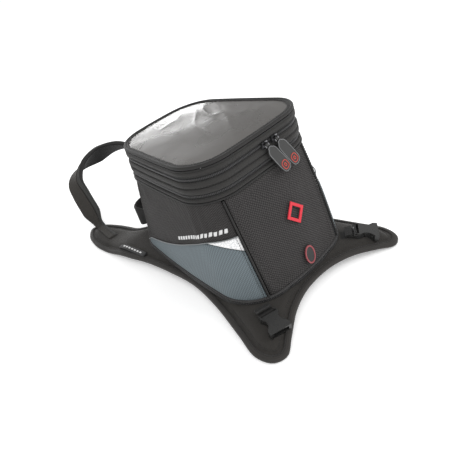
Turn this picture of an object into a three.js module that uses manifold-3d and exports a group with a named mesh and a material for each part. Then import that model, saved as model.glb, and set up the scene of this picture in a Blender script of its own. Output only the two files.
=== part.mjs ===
// Expandable motorcycle tank bag on a zip-off harness pad.
// Millimetres, +X to the rider's right, +Y towards the front wheel, +Z up.
// The origin is at the middle of the pad's flat underside, where it sits on the tank. Heights in this file
// are counted from the tips of the pad's wings, and the whole group is lowered to the origin at the end.
import * as THREE from 'three';
import { mergeVertices } from 'three/addons/utils/BufferGeometryUtils.js';
import Module from 'manifold-3d';

const wasm = await Module();
wasm.setup();

// ---------------------------------------------------------------- driving dimensions
const GAP = 0.4; // clearance between sewn neighbours
const WALL = 3; // padded fabric wall of the bag

// The pad is a sheet that is arched over the tank: high under the bag, low at the wing tips.
const PAD = { crown: 25, tip: 8, thickness: 8, fall: 85, flatHalfWidth: 100, flatRear: -205, flatFront: 160 };
const PAD_GRID = { cell: 35, columns: 10, rows: 18, x0: -175, y0: -280 };
const PAD_LAYERS = { binding: 3, cover: 1.1, foam: 5.2, grip: 1.1, clear: 0.3 };
const PAD_PRISM = { low: -20, height: 60, corners: 84 }; // the outline block that the layers are cut from
const PAD_HALF_OUTLINE = [
  [0, -215], [34, -218], [72, -230], [112, -252], [138, -265], [158, -256], [166, -228], [154, -184],
  [134, -112], [122, -41], [123, 27], [128, 89], [139, 154], [147, 219], [149, 265], [138, 312],
  [118, 334], [96, 322], [80, 290], [68, 250], [60, 205], [44, 176], [18, 168],
];

// Plan shapes of the bag: rounded trapezoids, wide at the rear.
const BASE = { halfRear: 126, halfFront: 93, rear: -197, front: 151, radiusRear: 70, radiusFront: 62 };
const SHOULDER = { halfRear: 121, halfFront: 90, rear: -154, front: 111, radiusRear: 58, radiusFront: 64 };
const RIM = { halfRear: 120, halfFront: 89, rear: -150, front: 108, radiusRear: 56, radiusFront: 65 };
const BODY_FLOOR = 34.4; // lower edge of the body panels
const RIM_REAR = 257; // height of the lid's edge at the rear
const RIM_SLOPE = 16 / 258; // and its fall towards the front
const SHOULDER_DEPTH = 58; // from the lid's edge down to the top of the body panels
const BULGE = { edge: 1.4, middle: 7, base: 5 }; // how far the body panels bow out
const FLOOR = { low: 31, high: 33.4, inset: 1 };
const STIFFENER = { low: 33.8, high: 36, inset: 6 };

// Bands under the lid's edge: [upper depth, lower depth]
const BANDS = {
  lid: [3.4, 13.6], zipUpperTape: [14, 16.4], zipCoil: [16.8, 19.6], zipLowerTape: [20, 23],
  upperCollar: [23.4, 40.2], growUpperTape: [40.6, 42.8], growCoil: [43.2, 46], growLowerTape: [46.4, 48.6],
  lowerCollar: [49, 53.8], shoulderPiping: 56,
};
const LID_HINGE = { from: 2.75, to: 4.25 }; // stretch of the rim, across the front, that has no zip
const BASE_ZIP = { padTapeTop: 28.4, coil: [28.8, 30.9], bagTape: [31.3, 34], clear: 0.7 };
const TAPE = { proud: -0.8, thickness: 1.8 }; // zip tapes lie back from the skin
const COIL = 2.6; // thickness of a zip's teeth
const GUSSET = { inset: 5, thickness: 1.2, top: 24, length: 84 }; // folded sleeve inside the collars
const LID = { frame: [4.5, 8.4], window: 8.8, film: 1.2, crown: 4, pocket: 3, backing: 1.4 };
const CORNER_PIPING = 0.31; // station of the seam between the rear and side panels
const FRONT_SEAM = 2.6; // station of the seam between the side and front panels
const SEAM = 0.027; // half width, in stations, left for a piped seam
const PLAIN_SEAM = 0.004; // and for a plain one

const WEBBING = 1.6;
const TAB_END = 16; // from the buckle's bar to the sewn end of its webbing
const BUCKLE = { width: 35, waist: 21, length: 38, height: 12, bar: 26, barRadius: 1.8, slot: 7, side: 4.4 };
const BUCKLE_MOUTH = { height: 7.4, width: 26, depth: 11, throat: 17, throatDepth: 23 };
const BUCKLES = [{ name: 'left', side: -1, yaw: -16 }, { name: 'right', side: 1, yaw: 40 }];
const BUCKLE_PLACE = { x: 110, y: -207, lift: 7.6, tilt: 12 };
const STRAP = { width: 37, rootWidth: 22, taper: 6, layer: 3.8, rootY: 325, rootZ: 14, lean: 48 };
const STRAP_ANCHOR = { x: 106, y: 291, yaw: 6, width: 22, length: 62, thickness: 1.8 };
const LABEL = { x: -123, y: 148, yaw: 4, width: 11, length: 84, thickness: 1.2 };
const HANDLE = { station: 2.8, up: 0.17, height: 42, thickness: 4, reach: 200, proud: 7 };
const HANDLE_ANCHOR = { halfWidth: 0.12, halfHeight: 0.15, thickness: 1.8, proud: 2.2 };
const MARK = { x: 10, z: 128, size: 38, rim: 6.5, depth: 1.6, clear: 0.9 };
const BADGE = { x: 7, z: 55, halfWidth: 10.5, halfHeight: 16, rim: 2.4, clear: 0.4 };
const PULLER = { grip: 18, length: 56, thickness: 3.4, tilt: 25, lean: 11, depth: 18 };
const PULLERS = [{ name: 'left', x: 5.7 }, { name: 'right', x: 26.5 }];
const PIN = { radius: 1, length: 6.4, eye: 2.7, hole: 1.45, proud: 6.6 };
const INLAY = { halfWidth: 5.6, low: 5, high: 20, depth: 0.8, clear: 0.3 };
const GROW_SLIDER = { name: 'expansion_zip', x: -18, station: 3.2, depth: 44.6, length: 21 };
const BASE_SLIDER = { name: 'base_zip', x: -26, station: 3.1, height: 29.9, proud: 9, length: 30 };

// ---------------------------------------------------------------- colours
const FABRIC = { color: 0x3e3c3c, roughness: 0.9, metalness: 0 };
const PAD_FABRIC = { color: 0x302d2a, roughness: 0.95, metalness: 0 };
const BLACK_FABRIC = { color: 0x1a1a1b, roughness: 0.85, metalness: 0 };
const GREY_MESH = { color: 0x73808a, roughness: 0.8, metalness: 0 };
const REFLECTIVE = { color: 0xf2f2f2, roughness: 0.35, metalness: 0 };
const RED = { color: 0xe0283c, roughness: 0.5, metalness: 0 };
const RUBBER = { color: 0x242424, roughness: 0.6, metalness: 0 };
const PLASTIC = { color: 0x18181a, roughness: 0.4, metalness: 0 };
const METAL = { color: 0x55565a, roughness: 0.35, metalness: 1 };
const CLEAR = { color: 0xb9b6b0, roughness: 0.1, metalness: 0 };
const FOAM = { color: 0x4a4a4a, roughness: 1, metalness: 0 };

const bag = new THREE.Group();

function add(name, geometry, look, parent = bag) {
  const mesh = new THREE.Mesh(geometry, new THREE.MeshStandardMaterial(look));
  mesh.name = name;
  parent.add(mesh);
  return mesh;
}

// ---------------------------------------------------------------- small maths
const radians = THREE.MathUtils.degToRad;
const mix = THREE.MathUtils.lerp;
const vec = (x, y, z) => new THREE.Vector3(x, y, z);
const ease = (t) => t * t * (3 - 2 * t);

function mixPlan(a, b, t) {
  return Object.fromEntries(Object.keys(a).map((key) => [key, mix(a[key], b[key], t)]));
}

// ---------------------------------------------------------------- solids from sections
function closedGeometry(positions, triangles) {
  let volume = 0;
  const corner = (i) => vec(...positions[i]);
  for (const [a, b, c] of triangles) {
    volume += corner(a).dot(corner(b).cross(corner(c)));
  }
  const outward = volume < 0 ? triangles.map(([a, b, c]) => [a, c, b]) : triangles;
  const geometry = new THREE.BufferGeometry();
  geometry.setAttribute('position', new THREE.Float32BufferAttribute(positions.flat(), 3));
  geometry.setIndex(outward.flat());
  return geometry;
}

// A closed solid through a row of sections with the same even number of corners each.
function loft(sections, ring = false) {
  const corners = sections[0].length;
  const positions = sections.flat().map((p) => [p.x, p.y, p.z]);
  const triangles = [];
  const spans = ring ? sections.length : sections.length - 1;
  for (let i = 0; i < spans; i += 1) {
    const here = i * corners;
    const next = ((i + 1) % sections.length) * corners;
    for (let k = 0; k < corners; k += 1) {
      const m = (k + 1) % corners;
      triangles.push([here + k, next + k, next + m], [here + k, next + m, here + m]);
    }
  }
  if (!ring) {
    const last = (sections.length - 1) * corners;
    for (let k = 0; k < corners / 2 - 1; k += 1) {
      const [a, b, c, d] = [k, k + 1, corners - 2 - k, corners - 1 - k];
      triangles.push([a, b, c], [a, c, d], [last + a, last + c, last + b], [last + a, last + d, last + c]);
    }
  }
  return closedGeometry(positions, triangles);
}

// A plate with a star-shaped outline and its own upper and lower surface.
function plate(outline, top, bottom, rings) {
  const n = outline.length;
  const centre = outline.reduce((sum, p) => sum.add(p.clone().divideScalar(n)), vec(0, 0, 0));
  const positions = [];
  const triangles = [];
  for (const height of [top, bottom]) {
    const first = positions.length;
    positions.push([centre.x, centre.y, height(centre.x, centre.y, 0)]);
    for (let r = 1; r <= rings; r += 1) {
      for (const p of outline) {
        const q = centre.clone().lerp(p, r / rings);
        positions.push([q.x, q.y, height(q.x, q.y, r / rings)]);
      }
    }
    const flip = (t) => (height === top ? t : [t[0], t[2], t[1]]);
    for (let i = 0; i < n; i += 1) {
      const j = (i + 1) % n;
      triangles.push(flip([first, first + 1 + i, first + 1 + j]));
      for (let r = 1; r < rings; r += 1) {
        const near = first + 1 + (r - 1) * n;
        const far = near + n;
        triangles.push(flip([near + i, far + i, far + j]), flip([near + i, far + j, near + j]));
      }
    }
  }
  const upper = 1 + (rings - 1) * n;
  const lower = upper + 1 + rings * n;
  for (let i = 0; i < n; i += 1) {
    const j = (i + 1) % n;
    triangles.push([upper + i, lower + i, lower + j], [upper + i, lower + j, upper + j]);
  }
  return closedGeometry(positions, triangles);
}

function solid(geometry) {
  const bare = geometry.clone();
  bare.deleteAttribute('normal');
  bare.deleteAttribute('uv');
  const merged = mergeVertices(bare, 1e-4);
  return new wasm.Manifold(new wasm.Mesh({
    numProp: 3,
    vertProperties: new Float32Array(merged.attributes.position.array),
    triVerts: new Uint32Array(merged.index.array),
  }));
}

function geometryOf(manifold) {
  const mesh = manifold.getMesh();
  const geometry = new THREE.BufferGeometry();
  geometry.setAttribute('position', new THREE.Float32BufferAttribute(mesh.vertProperties, 3));
  geometry.setIndex(Array.from(mesh.triVerts));
  return geometry;
}

function extrude(points, depth) {
  const shape = new THREE.Shape(points.map(([x, y]) => new THREE.Vector2(x, y)));
  return new THREE.ExtrudeGeometry(shape, { depth, bevelEnabled: false });
}

function box(width, length, height, x = 0, y = 0, z = 0) {
  return new THREE.BoxGeometry(width, length, height).translate(x, y, z);
}

// A round bar along X.
function bar(radius, length, sides = 10) {
  return new THREE.CylinderGeometry(radius, radius, length, sides).rotateZ(Math.PI / 2);
}

// ---------------------------------------------------------------- pad surface
function domeHeight(x, y) {
  const across = Math.max(0, Math.abs(x) - PAD.flatHalfWidth);
  const along = Math.max(0, PAD.flatRear - y, y - PAD.flatFront);
  const t = Math.min(1, Math.hypot(across, along) / PAD.fall);
  return PAD.crown - (PAD.crown - PAD.tip) * ease(t);
}

// The pad's top surface, straight between the corners of its grid.
function padTop(x, y) {
  const u = (x - PAD_GRID.x0) / PAD_GRID.cell;
  const v = (y - PAD_GRID.y0) / PAD_GRID.cell;
  const i = Math.floor(u);
  const j = Math.floor(v);
  const gridX = (k) => PAD_GRID.x0 + k * PAD_GRID.cell;
  const gridY = (k) => PAD_GRID.y0 + k * PAD_GRID.cell;
  const corner = (di, dj) => domeHeight(gridX(i + di), gridY(j + dj));
  const [fu, fv] = [u - i, v - j];
  if (fu + fv <= 1) {
    return corner(0, 0) + fu * (corner(1, 0) - corner(0, 0)) + fv * (corner(0, 1) - corner(0, 0));
  }
  return corner(1, 1) + (1 - fu) * (corner(0, 1) - corner(1, 1)) + (1 - fv) * (corner(1, 0) - corner(1, 1));
}

// A slab over the whole grid between two depths under the pad's top.
function padSlab(upper, lower) {
  const { cell, columns, rows, x0, y0 } = PAD_GRID;
  const positions = [];
  const triangles = [];
  const index = (layer, i, j) => layer * (columns + 1) * (rows + 1) + j * (columns + 1) + i;
  for (const depth of [upper, lower]) {
    for (let j = 0; j <= rows; j += 1) {
      for (let i = 0; i <= columns; i += 1) {
        const [x, y] = [x0 + i * cell, y0 + j * cell];
        positions.push([x, y, domeHeight(x, y) - depth]);
      }
    }
  }
  for (let j = 0; j < rows; j += 1) {
    for (let i = 0; i < columns; i += 1) {
      const [a, b, c, d] = [[i, j], [i + 1, j], [i, j + 1], [i + 1, j + 1]];
      const top = (p) => index(0, ...p);
      const low = (p) => index(1, ...p);
      triangles.push([top(a), top(b), top(c)], [top(b), top(d), top(c)]);
      triangles.push([low(a), low(c), low(b)], [low(b), low(c), low(d)]);
    }
  }
  const side = (p, q) => {
    triangles.push([index(0, ...q), index(0, ...p), index(1, ...p)]);
    triangles.push([index(0, ...q), index(1, ...p), index(1, ...q)]);
  };
  for (let i = 0; i < columns; i += 1) {
    side([i, 0], [i + 1, 0]);
    side([i + 1, rows], [i, rows]);
  }
  for (let j = 0; j < rows; j += 1) {
    side([0, j + 1], [0, j]);
    side([columns, j], [columns, j + 1]);
  }
  return solid(closedGeometry(positions, triangles));
}

function padOutline(inset) {
  const mirrored = PAD_HALF_OUTLINE.slice(1).reverse().map(([x, y]) => [-x, y]);
  const points = [...PAD_HALF_OUTLINE, ...mirrored].map(([x, y]) => vec(x, y, 0));
  const curve = new THREE.CatmullRomCurve3(points, true, 'centripetal');
  return Array.from({ length: PAD_PRISM.corners }, (unused, i) => {
    const t = i / PAD_PRISM.corners;
    const tangent = curve.getTangent(t);
    return curve.getPoint(t).add(vec(-tangent.y, tangent.x, 0).normalize().multiplyScalar(inset));
  });
}

function padLayer(inset, upper, lower) {
  const outline = padOutline(inset).map((p) => [p.x, p.y]);
  const prism = extrude(outline, PAD_PRISM.height).translate(0, 0, PAD_PRISM.low);
  return geometryOf(solid(prism).intersect(padSlab(upper, lower)));
}

function makePad() {
  const { binding, cover, foam, grip, clear } = PAD_LAYERS;
  const layers = [
    ['pad_top_cover', cover, PAD_FABRIC], ['pad_foam_core', foam, FOAM], ['pad_grip_underside', grip, RUBBER],
  ];
  let depth = 0;
  for (const [name, thickness, look] of layers) {
    add(name, padLayer(binding + GAP, depth, depth + thickness), look);
    depth += thickness + clear;
  }
  const roundOff = 0.4;
  const outer = padOutline(0);
  const inner = padOutline(binding);
  const sections = outer.map((p, i) => {
    const q = inner[i];
    return [
      vec(p.x, p.y, padTop(p.x, p.y) - roundOff), vec(q.x, q.y, padTop(q.x, q.y) + roundOff),
      vec(q.x, q.y, padTop(q.x, q.y) - PAD.thickness), vec(p.x, p.y, padTop(p.x, p.y) - PAD.thickness),
    ];
  });
  add('pad_edge_binding', loft(sections, true), BLACK_FABRIC);
}

// ---------------------------------------------------------------- bag skin
// A station runs round the bag from 0 to 8: even stretches are the corners (0 rear left, 2 front left,
// 4 front right, 6 rear right) and odd ones the edges between them.
function planPoint(plan, station) {
  const corners = [
    vec(-plan.halfRear, plan.rear, 0), vec(-plan.halfFront, plan.front, 0),
    vec(plan.halfFront, plan.front, 0), vec(plan.halfRear, plan.rear, 0),
  ];
  const radii = [plan.radiusRear, plan.radiusFront, plan.radiusFront, plan.radiusRear];
  const arc = (i) => {
    const p = corners[i];
    const before = corners[(i + 3) % 4].clone().sub(p).normalize();
    const after = corners[(i + 1) % 4].clone().sub(p).normalize();
    const half = before.angleTo(after) / 2;
    const inward = before.clone().add(after).normalize();
    const centre = p.clone().addScaledVector(inward, radii[i] / Math.sin(half));
    const reach = radii[i] / Math.tan(half);
    const start = p.clone().addScaledVector(before, reach);
    const end = p.clone().addScaledVector(after, reach);
    return { centre, start, end, radius: radii[i], turn: Math.PI - 2 * half };
  };
  const whole = ((Math.floor(station) % 8) + 8) % 8;
  const t = station - Math.floor(station);
  const corner = arc(whole >> 1);
  if (whole % 2 === 0) {
    const spoke = corner.start.clone().sub(corner.centre).applyAxisAngle(vec(0, 0, 1), -corner.turn * t);
    return { point: corner.centre.clone().add(spoke), normal: spoke.normalize(), swell: 0.35 };
  }
  const next = arc(((whole >> 1) + 1) % 4);
  const run = next.start.clone().sub(corner.end);
  const normal = vec(-run.y, run.x, 0).normalize();
  return { point: corner.end.clone().addScaledVector(run, t), normal, swell: 0.35 + 2.6 * t * (1 - t) };
}

const rimHeight = (y) => RIM_REAR - RIM_SLOPE * (y - RIM.rear);

// Point of the bag's outer skin at a depth under the lid's edge, moved out by `proud`.
function skin(station, depth, proud = 0) {
  const edge = rimHeight(planPoint(RIM, station).point.y);
  const bodyHeight = edge - SHOULDER_DEPTH - BODY_FLOOR;
  const body = depth > SHOULDER_DEPTH;
  const up = 1 - (depth - SHOULDER_DEPTH) / bodyHeight;
  const plan = body ? mixPlan(BASE, SHOULDER, up) : mixPlan(RIM, SHOULDER, depth / SHOULDER_DEPTH);
  const { point, normal, swell } = planPoint(plan, station);
  const bulge = body ? mix(BULGE.base, BULGE.edge, up) + BULGE.middle * Math.sin(Math.PI * up) : BULGE.edge;
  point.addScaledVector(normal, bulge * swell + proud);
  point.z = edge - depth;
  return point;
}

function bodyDepth(station, up) {
  const edge = rimHeight(planPoint(RIM, station).point.y);
  return SHOULDER_DEPTH + (1 - up) * (edge - SHOULDER_DEPTH - BODY_FLOOR);
}

// Stations between two ends, six to a corner and four to an edge.
function stations(from, to) {
  const list = [from];
  for (let whole = Math.floor(from); whole < to; whole += 1) {
    const steps = (whole % 2 === 0) ? 6 : 4;
    for (let k = 0; k < steps; k += 1) {
      const station = whole + k / steps;
      if (station > from + 0.03 && station < to - 0.03) list.push(station);
    }
  }
  list.push(to);
  return list;
}

const roundTheBag = () => stations(0, 8).slice(0, -1);

function bandSection(station, [upper, lower], proud, thickness) {
  return [
    skin(station, upper, proud), skin(station, lower, proud),
    skin(station, lower, proud - thickness), skin(station, upper, proud - thickness),
  ];
}

function band(range, proud, thickness, from = null, to = null) {
  const open = from !== null;
  const list = open ? stations(from, to) : roundTheBag();
  return loft(list.map((s) => bandSection(s, range, proud, thickness)), !open);
}

// A round cord laid along the skin.
function cordSection(point, outward, across, radius, sides = 6) {
  return Array.from({ length: sides }, (unused, k) => {
    const angle = (k + 0.5) * 2 * Math.PI / sides;
    const along = point.clone().addScaledVector(outward, radius * Math.cos(angle));
    return along.addScaledVector(across, radius * Math.sin(angle));
  });
}

function pipingRing(depth, proud, radius) {
  return loft(roundTheBag().map((s) => {
    const { normal } = planPoint(RIM, s);
    return cordSection(skin(s, depth, proud), normal, vec(0, 0, 1), radius);
  }), true);
}

function mirrorX(geometry) {
  const source = geometry.attributes.position;
  const mirrored = (unused, i) => [-source.getX(i), source.getY(i), source.getZ(i)];
  const points = Array.from({ length: source.count }, mirrored);
  const index = Array.from(geometry.index.array);
  const triangles = Array.from({ length: index.length / 3 }, (unused, i) => index.slice(3 * i, 3 * i + 3));
  return closedGeometry(points, triangles);
}

function addPair(name, geometry, look) {
  add(`left_${name}`, geometry, look);
  add(`right_${name}`, mirrorX(geometry), look);
}

// ---------------------------------------------------------------- bag body
const accentLine = new THREE.CatmullRomCurve3([
  vec(CORNER_PIPING, 0.665, 0), vec(0.87, 0.62, 0), vec(1.36, 0.44, 0), vec(1.85, 0.23, 0), vec(2.3, 0.02, 0),
]);
const TRIANGLE_END = 0.87;
const INSERT_END = 2.24;

function accentTop(station) {
  const found = accentLine.getPoints(60).find((p) => p.x >= station);
  return found ? Math.max(0, found.y) : 0;
}

function accentLow(station) {
  if (station >= TRIANGLE_END) return accentTop(station);
  const t = (station - CORNER_PIPING) / (TRIANGLE_END - CORNER_PIPING);
  return mix(0.5, accentTop(TRIANGLE_END), Math.sin(t * Math.PI / 2));
}

// A wall between two stations, from the height `low` to the height `high` of the body (0 floor, 1 shoulder).
function wall(from, to, low, high, thickness = WALL, rows = 4, proud = 0) {
  return loft(stations(from, to).map((s) => {
    const outer = [];
    const inner = [];
    for (let k = 0; k <= rows; k += 1) {
      const depth = bodyDepth(s, mix(low(s), high(s), k / rows));
      outer.push(skin(s, depth, proud));
      inner.unshift(skin(s, depth, proud - thickness));
    }
    return [...outer, ...inner];
  }));
}

function makeBody() {
  const edgeGap = 0.005;
  const floorLine = () => 0;
  const shoulderLine = () => 1;
  const [first, last] = [CORNER_PIPING + SEAM, FRONT_SEAM - PLAIN_SEAM];
  const sideLow = (s) => (accentTop(s) > 0.02 ? accentTop(s) + edgeGap : 0);
  const sidePanel = wall(first, last, sideLow, shoulderLine);
  const meshInsert = wall(first, INSERT_END, floorLine, (s) => accentLow(s) - edgeGap);
  const reflector = wall(first, TRIANGLE_END - 0.03, (s) => accentLow(s) + edgeGap,
    (s) => accentTop(s) - edgeGap, WALL, 1);
  const rearPanel = wall(7 - CORNER_PIPING + SEAM, 8 + CORNER_PIPING - SEAM, floorLine, shoulderLine);
  const frontPanel = wall(FRONT_SEAM + PLAIN_SEAM, 7 - FRONT_SEAM - PLAIN_SEAM, floorLine, shoulderLine);
  add('rear_panel', rearPanel, FABRIC);
  add('front_panel', frontPanel, FABRIC);
  addPair('side_panel', sidePanel, FABRIC);
  addPair('mesh_insert', meshInsert, GREY_MESH);
  addPair('reflective_triangle', reflector, REFLECTIVE);
  const rows = 12;
  const piping = Array.from({ length: rows + 1 }, (unused, k) => {
    const depth = bodyDepth(CORNER_PIPING, mix(0.01, 0.985, k / rows));
    const { normal } = planPoint(SHOULDER, CORNER_PIPING);
    return cordSection(skin(CORNER_PIPING, depth, 0.4), normal, vec(-normal.y, normal.x, 0), 1.5);
  });
  addPair('corner_piping', loft(piping), BLACK_FABRIC);
  const sheet = (inset) => roundTheBag().map((s) => skin(s, bodyDepth(s, 0), -WALL - inset));
  const board = plate(sheet(STIFFENER.inset), () => STIFFENER.high, () => STIFFENER.low, 1);
  add('floor_panel', plate(sheet(FLOOR.inset), () => FLOOR.high, () => FLOOR.low, 1), BLACK_FABRIC);
  add('floor_stiffener', board, PLASTIC);
}

// ---------------------------------------------------------------- zips and collars
function baseRing(top, bottom, proud, thickness) {
  return loft(roundTheBag().map((s) => {
    const outer = skin(s, bodyDepth(s, 0), proud);
    const inner = skin(s, bodyDepth(s, 0), proud - thickness);
    return [
      vec(outer.x, outer.y, top(outer)), vec(outer.x, outer.y, bottom(outer)),
      vec(inner.x, inner.y, bottom(inner)), vec(inner.x, inner.y, top(inner)),
    ];
  }), true);
}

function makeBaseZip() {
  const { padTapeTop, coil, bagTape, clear } = BASE_ZIP;
  const padTapeLow = (p) => padTop(p.x, p.y) + clear;
  add('base_zip_pad_tape', baseRing(() => padTapeTop, padTapeLow, 0.5, 2.4), BLACK_FABRIC);
  add('base_zip_coil', baseRing(() => coil[1], () => coil[0], 0.9, 2.8), BLACK_FABRIC);
  add('base_zip_bag_tape', baseRing(() => bagTape[1], () => bagTape[0], 0.5, 2.4), BLACK_FABRIC);
}

function makeCollars() {
  const zip = [LID_HINGE.to + 0.01, 8 + LID_HINGE.from - 0.01];
  const strip = [BANDS.zipUpperTape[0], BANDS.zipLowerTape[1]];
  const tape = [TAPE.proud, TAPE.thickness];
  add('main_zip_upper_tape', band(BANDS.zipUpperTape, ...tape, ...zip), BLACK_FABRIC);
  add('main_zip_coil', band(BANDS.zipCoil, 0, COIL, ...zip), PLASTIC);
  add('main_zip_lower_tape', band(BANDS.zipLowerTape, ...tape, ...zip), BLACK_FABRIC);
  add('lid_hinge_strip', band(strip, 0, 1.6, LID_HINGE.from, LID_HINGE.to), FABRIC);
  add('upper_collar', band(BANDS.upperCollar, 0, WALL), FABRIC);
  add('expansion_zip_upper_tape', band(BANDS.growUpperTape, ...tape), BLACK_FABRIC);
  add('expansion_zip_coil', band(BANDS.growCoil, 0, COIL), PLASTIC);
  add('expansion_zip_lower_tape', band(BANDS.growLowerTape, ...tape), BLACK_FABRIC);
  add('lower_collar', band(BANDS.lowerCollar, 0, WALL), FABRIC);
  add('shoulder_piping', pipingRing(BANDS.shoulderPiping, 0.6, 1.8), BLACK_FABRIC);
  const sleeve = roundTheBag().map((s) => {
    const { point, normal } = planPoint(RIM, s);
    const outer = point.clone().addScaledVector(normal, -GUSSET.inset);
    const inner = point.clone().addScaledVector(normal, -GUSSET.inset - GUSSET.thickness);
    const top = rimHeight(point.y) - GUSSET.top;
    const low = top - GUSSET.length;
    return [
      outer.clone().setZ(top), outer.clone().setZ(low),
      inner.clone().setZ(low), inner.clone().setZ(top),
    ];
  });
  add('expansion_gusset', loft(sleeve, true), BLACK_FABRIC);
}

// ---------------------------------------------------------------- lid
function lidOutline(inset) {
  return roundTheBag().map((s) => skin(s, 0, -inset));
}

function makeLid() {
  add('lid_binding', pipingRing(0, -1, 3), BLACK_FABRIC);
  add('lid_band', band(BANDS.lid, 0, WALL), FABRIC);
  const [outer, inner] = LID.frame.map(lidOutline);
  const raised = (p, lift) => p.clone().setZ(p.z + lift);
  const frame = outer.map((p, i) => {
    const q = inner[i];
    return [raised(p, 1.5), raised(p, -1.2), raised(q, -1.2), raised(q, 1.8)];
  });
  add('lid_frame', loft(frame, true), BLACK_FABRIC);
  const domed = (lift) => (x, y, r) => rimHeight(y) + lift + LID.crown * (1 - r * r);
  const film = plate(lidOutline(LID.window), domed(LID.film), domed(0), 3);
  const backing = plate(lidOutline(LID.frame[0]), domed(-LID.pocket), domed(-LID.pocket - LID.backing), 3);
  add('map_window', film, CLEAR);
  add('map_pocket_backing', backing, FOAM);
}

// ---------------------------------------------------------------- sliders and pullers
// Built hanging from a pin along X at the origin: the base plate lies behind, towards +Y, and is turned
// back by `tilt` so that it stays in line with the zip when the puller hangs askew.
function sliderGeometry(length, height, tilt = 0) {
  const base = { thickness: 2.4, back: 4.4 };
  const ear = { x: 3.2, width: 1.5, length: 5, height: 4.4, back: 0.9 };
  let body = solid(box(length, base.thickness, height, 0, base.back, 0).rotateY(radians(tilt)));
  for (const x of [-ear.x, ear.x]) {
    body = body.add(solid(box(ear.width, ear.length, ear.height, x, ear.back, 0)));
  }
  return geometryOf(body.add(solid(bar(PIN.radius, PIN.length))));
}

// The eye goes round the slider's pin, and the grip hangs from it along -Z.
function pullerGeometry(length, grip) {
  const width = 4.2;
  const eye = solid(bar(PIN.eye, width, 12)).subtract(solid(bar(PIN.hole, PIN.length, 12)));
  const neck = solid(box(width, 2, 9, 0, 0, -6.6));
  const half = grip / 2;
  const top = -10;
  const round = half * 0.5;
  const shoulder = top - half + 3;
  const side = [[3, top], [half, shoulder], [half, -length + round], [half - round, -length]];
  const outline = [...side.map(([x, z]) => [-x, z]), ...side.reverse()];
  const slab = extrude(outline, PULLER.thickness).rotateX(Math.PI / 2).translate(0, PULLER.thickness / 2, 0);
  return eye.add(neck).add(solid(slab));
}

// A chamfered panel let into the lower end of a puller's face.
function inlayOutline(shrink) {
  const chamfer = 3;
  const half = INLAY.halfWidth - shrink;
  const low = -PULLER.length + INLAY.low + shrink;
  const high = -PULLER.length + INLAY.high - shrink;
  const side = [[half, high - 2], [half, low + chamfer], [half - chamfer, low]];
  const left = side.map(([x, z]) => [-x, z]);
  const right = side.slice().reverse();
  return [...left, ...right, [half - chamfer, high], [chamfer - half, high]];
}

function hang(name, geometry, look, position, lean) {
  const mesh = add(name, geometry, look);
  mesh.rotation.set(radians(-lean), radians(-PULLER.tilt), 0, 'XYZ');
  mesh.position.copy(position);
}

function makeMainPullers() {
  const halfEdge = RIM.halfRear - RIM.radiusRear;
  const face = PULLER.thickness / 2;
  for (const { name, x } of PULLERS) {
    const pin = skin(7.5 - x / (2 * halfEdge), PULLER.depth, PIN.proud).setX(x);
    const recess = extrude(inlayOutline(0), 1).rotateX(Math.PI / 2).translate(0, INLAY.depth - face, 0);
    const inlay = extrude(inlayOutline(INLAY.clear), 0.9).rotateX(Math.PI / 2).translate(0, 0.45 - face, 0);
    const grip = pullerGeometry(PULLER.length, PULLER.grip).subtract(solid(recess));
    hang(`${name}_slider`, sliderGeometry(11, 10, PULLER.tilt), METAL, pin, 0);
    hang(`${name}_puller`, geometryOf(grip), RUBBER, pin, PULLER.lean);
    hang(`${name}_puller_inlay`, inlay, RED, pin, PULLER.lean);
  }
}

function addFrontSlider(name, x, at, length, tilt) {
  const front = new THREE.Group();
  front.position.set(x, at.y, at.z);
  front.rotation.z = Math.PI;
  bag.add(front);
  add(`${name}_slider`, sliderGeometry(9, 6.6, tilt), METAL, front).rotation.y = radians(-tilt);
  add(`${name}_puller`, geometryOf(pullerGeometry(length, 7.6)), RUBBER, front).rotation.y = radians(-tilt);
}

function makeFrontSliders() {
  const grow = GROW_SLIDER;
  const base = BASE_SLIDER;
  const basePin = skin(base.station, bodyDepth(base.station, 0), base.proud).setZ(base.height);
  addFrontSlider(grow.name, grow.x, skin(grow.station, grow.depth, PIN.proud), grow.length, 0);
  addFrontSlider(base.name, base.x, basePin, base.length, 90);
}

// ---------------------------------------------------------------- carry handle
function makeHandle() {
  const root = skin(HANDLE.station, bodyDepth(HANDLE.station, HANDLE.up), HANDLE.proud);
  const half = [
    [root.x, root.y], [root.x * 1.14, root.y + 12],
    [root.x * 1.24, root.y + 28], [root.x * 0.9, HANDLE.reach - 4],
  ];
  const mirrored = half.slice().reverse().map(([x, y]) => [-x, y]);
  const points = [...half, [0, HANDLE.reach], ...mirrored].map(([x, y]) => vec(x, y, root.z));
  const path = new THREE.CatmullRomCurve3(points, false, 'centripetal');
  const steps = 20;
  const sections = Array.from({ length: steps + 1 }, (unused, i) => {
    const point = path.getPointAt(i / steps);
    const tangent = path.getTangentAt(i / steps);
    const out = vec(-tangent.y, tangent.x, 0).multiplyScalar(HANDLE.thickness / 2);
    const up = vec(0, 0, HANDLE.height / 2);
    return [point.clone().add(out).add(up), point.clone().add(out).sub(up),
      point.clone().sub(out).sub(up), point.clone().sub(out).add(up)];
  });
  add('carry_handle', loft(sections), BLACK_FABRIC);
  const { halfWidth, halfHeight, thickness, proud } = HANDLE_ANCHOR;
  const low = () => HANDLE.up - halfHeight;
  const high = () => HANDLE.up + halfHeight;
  const anchor = wall(HANDLE.station - halfWidth, HANDLE.station + halfWidth, low, high, thickness, 2, proud);
  addPair('handle_anchor', anchor, BLACK_FABRIC);
}

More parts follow.
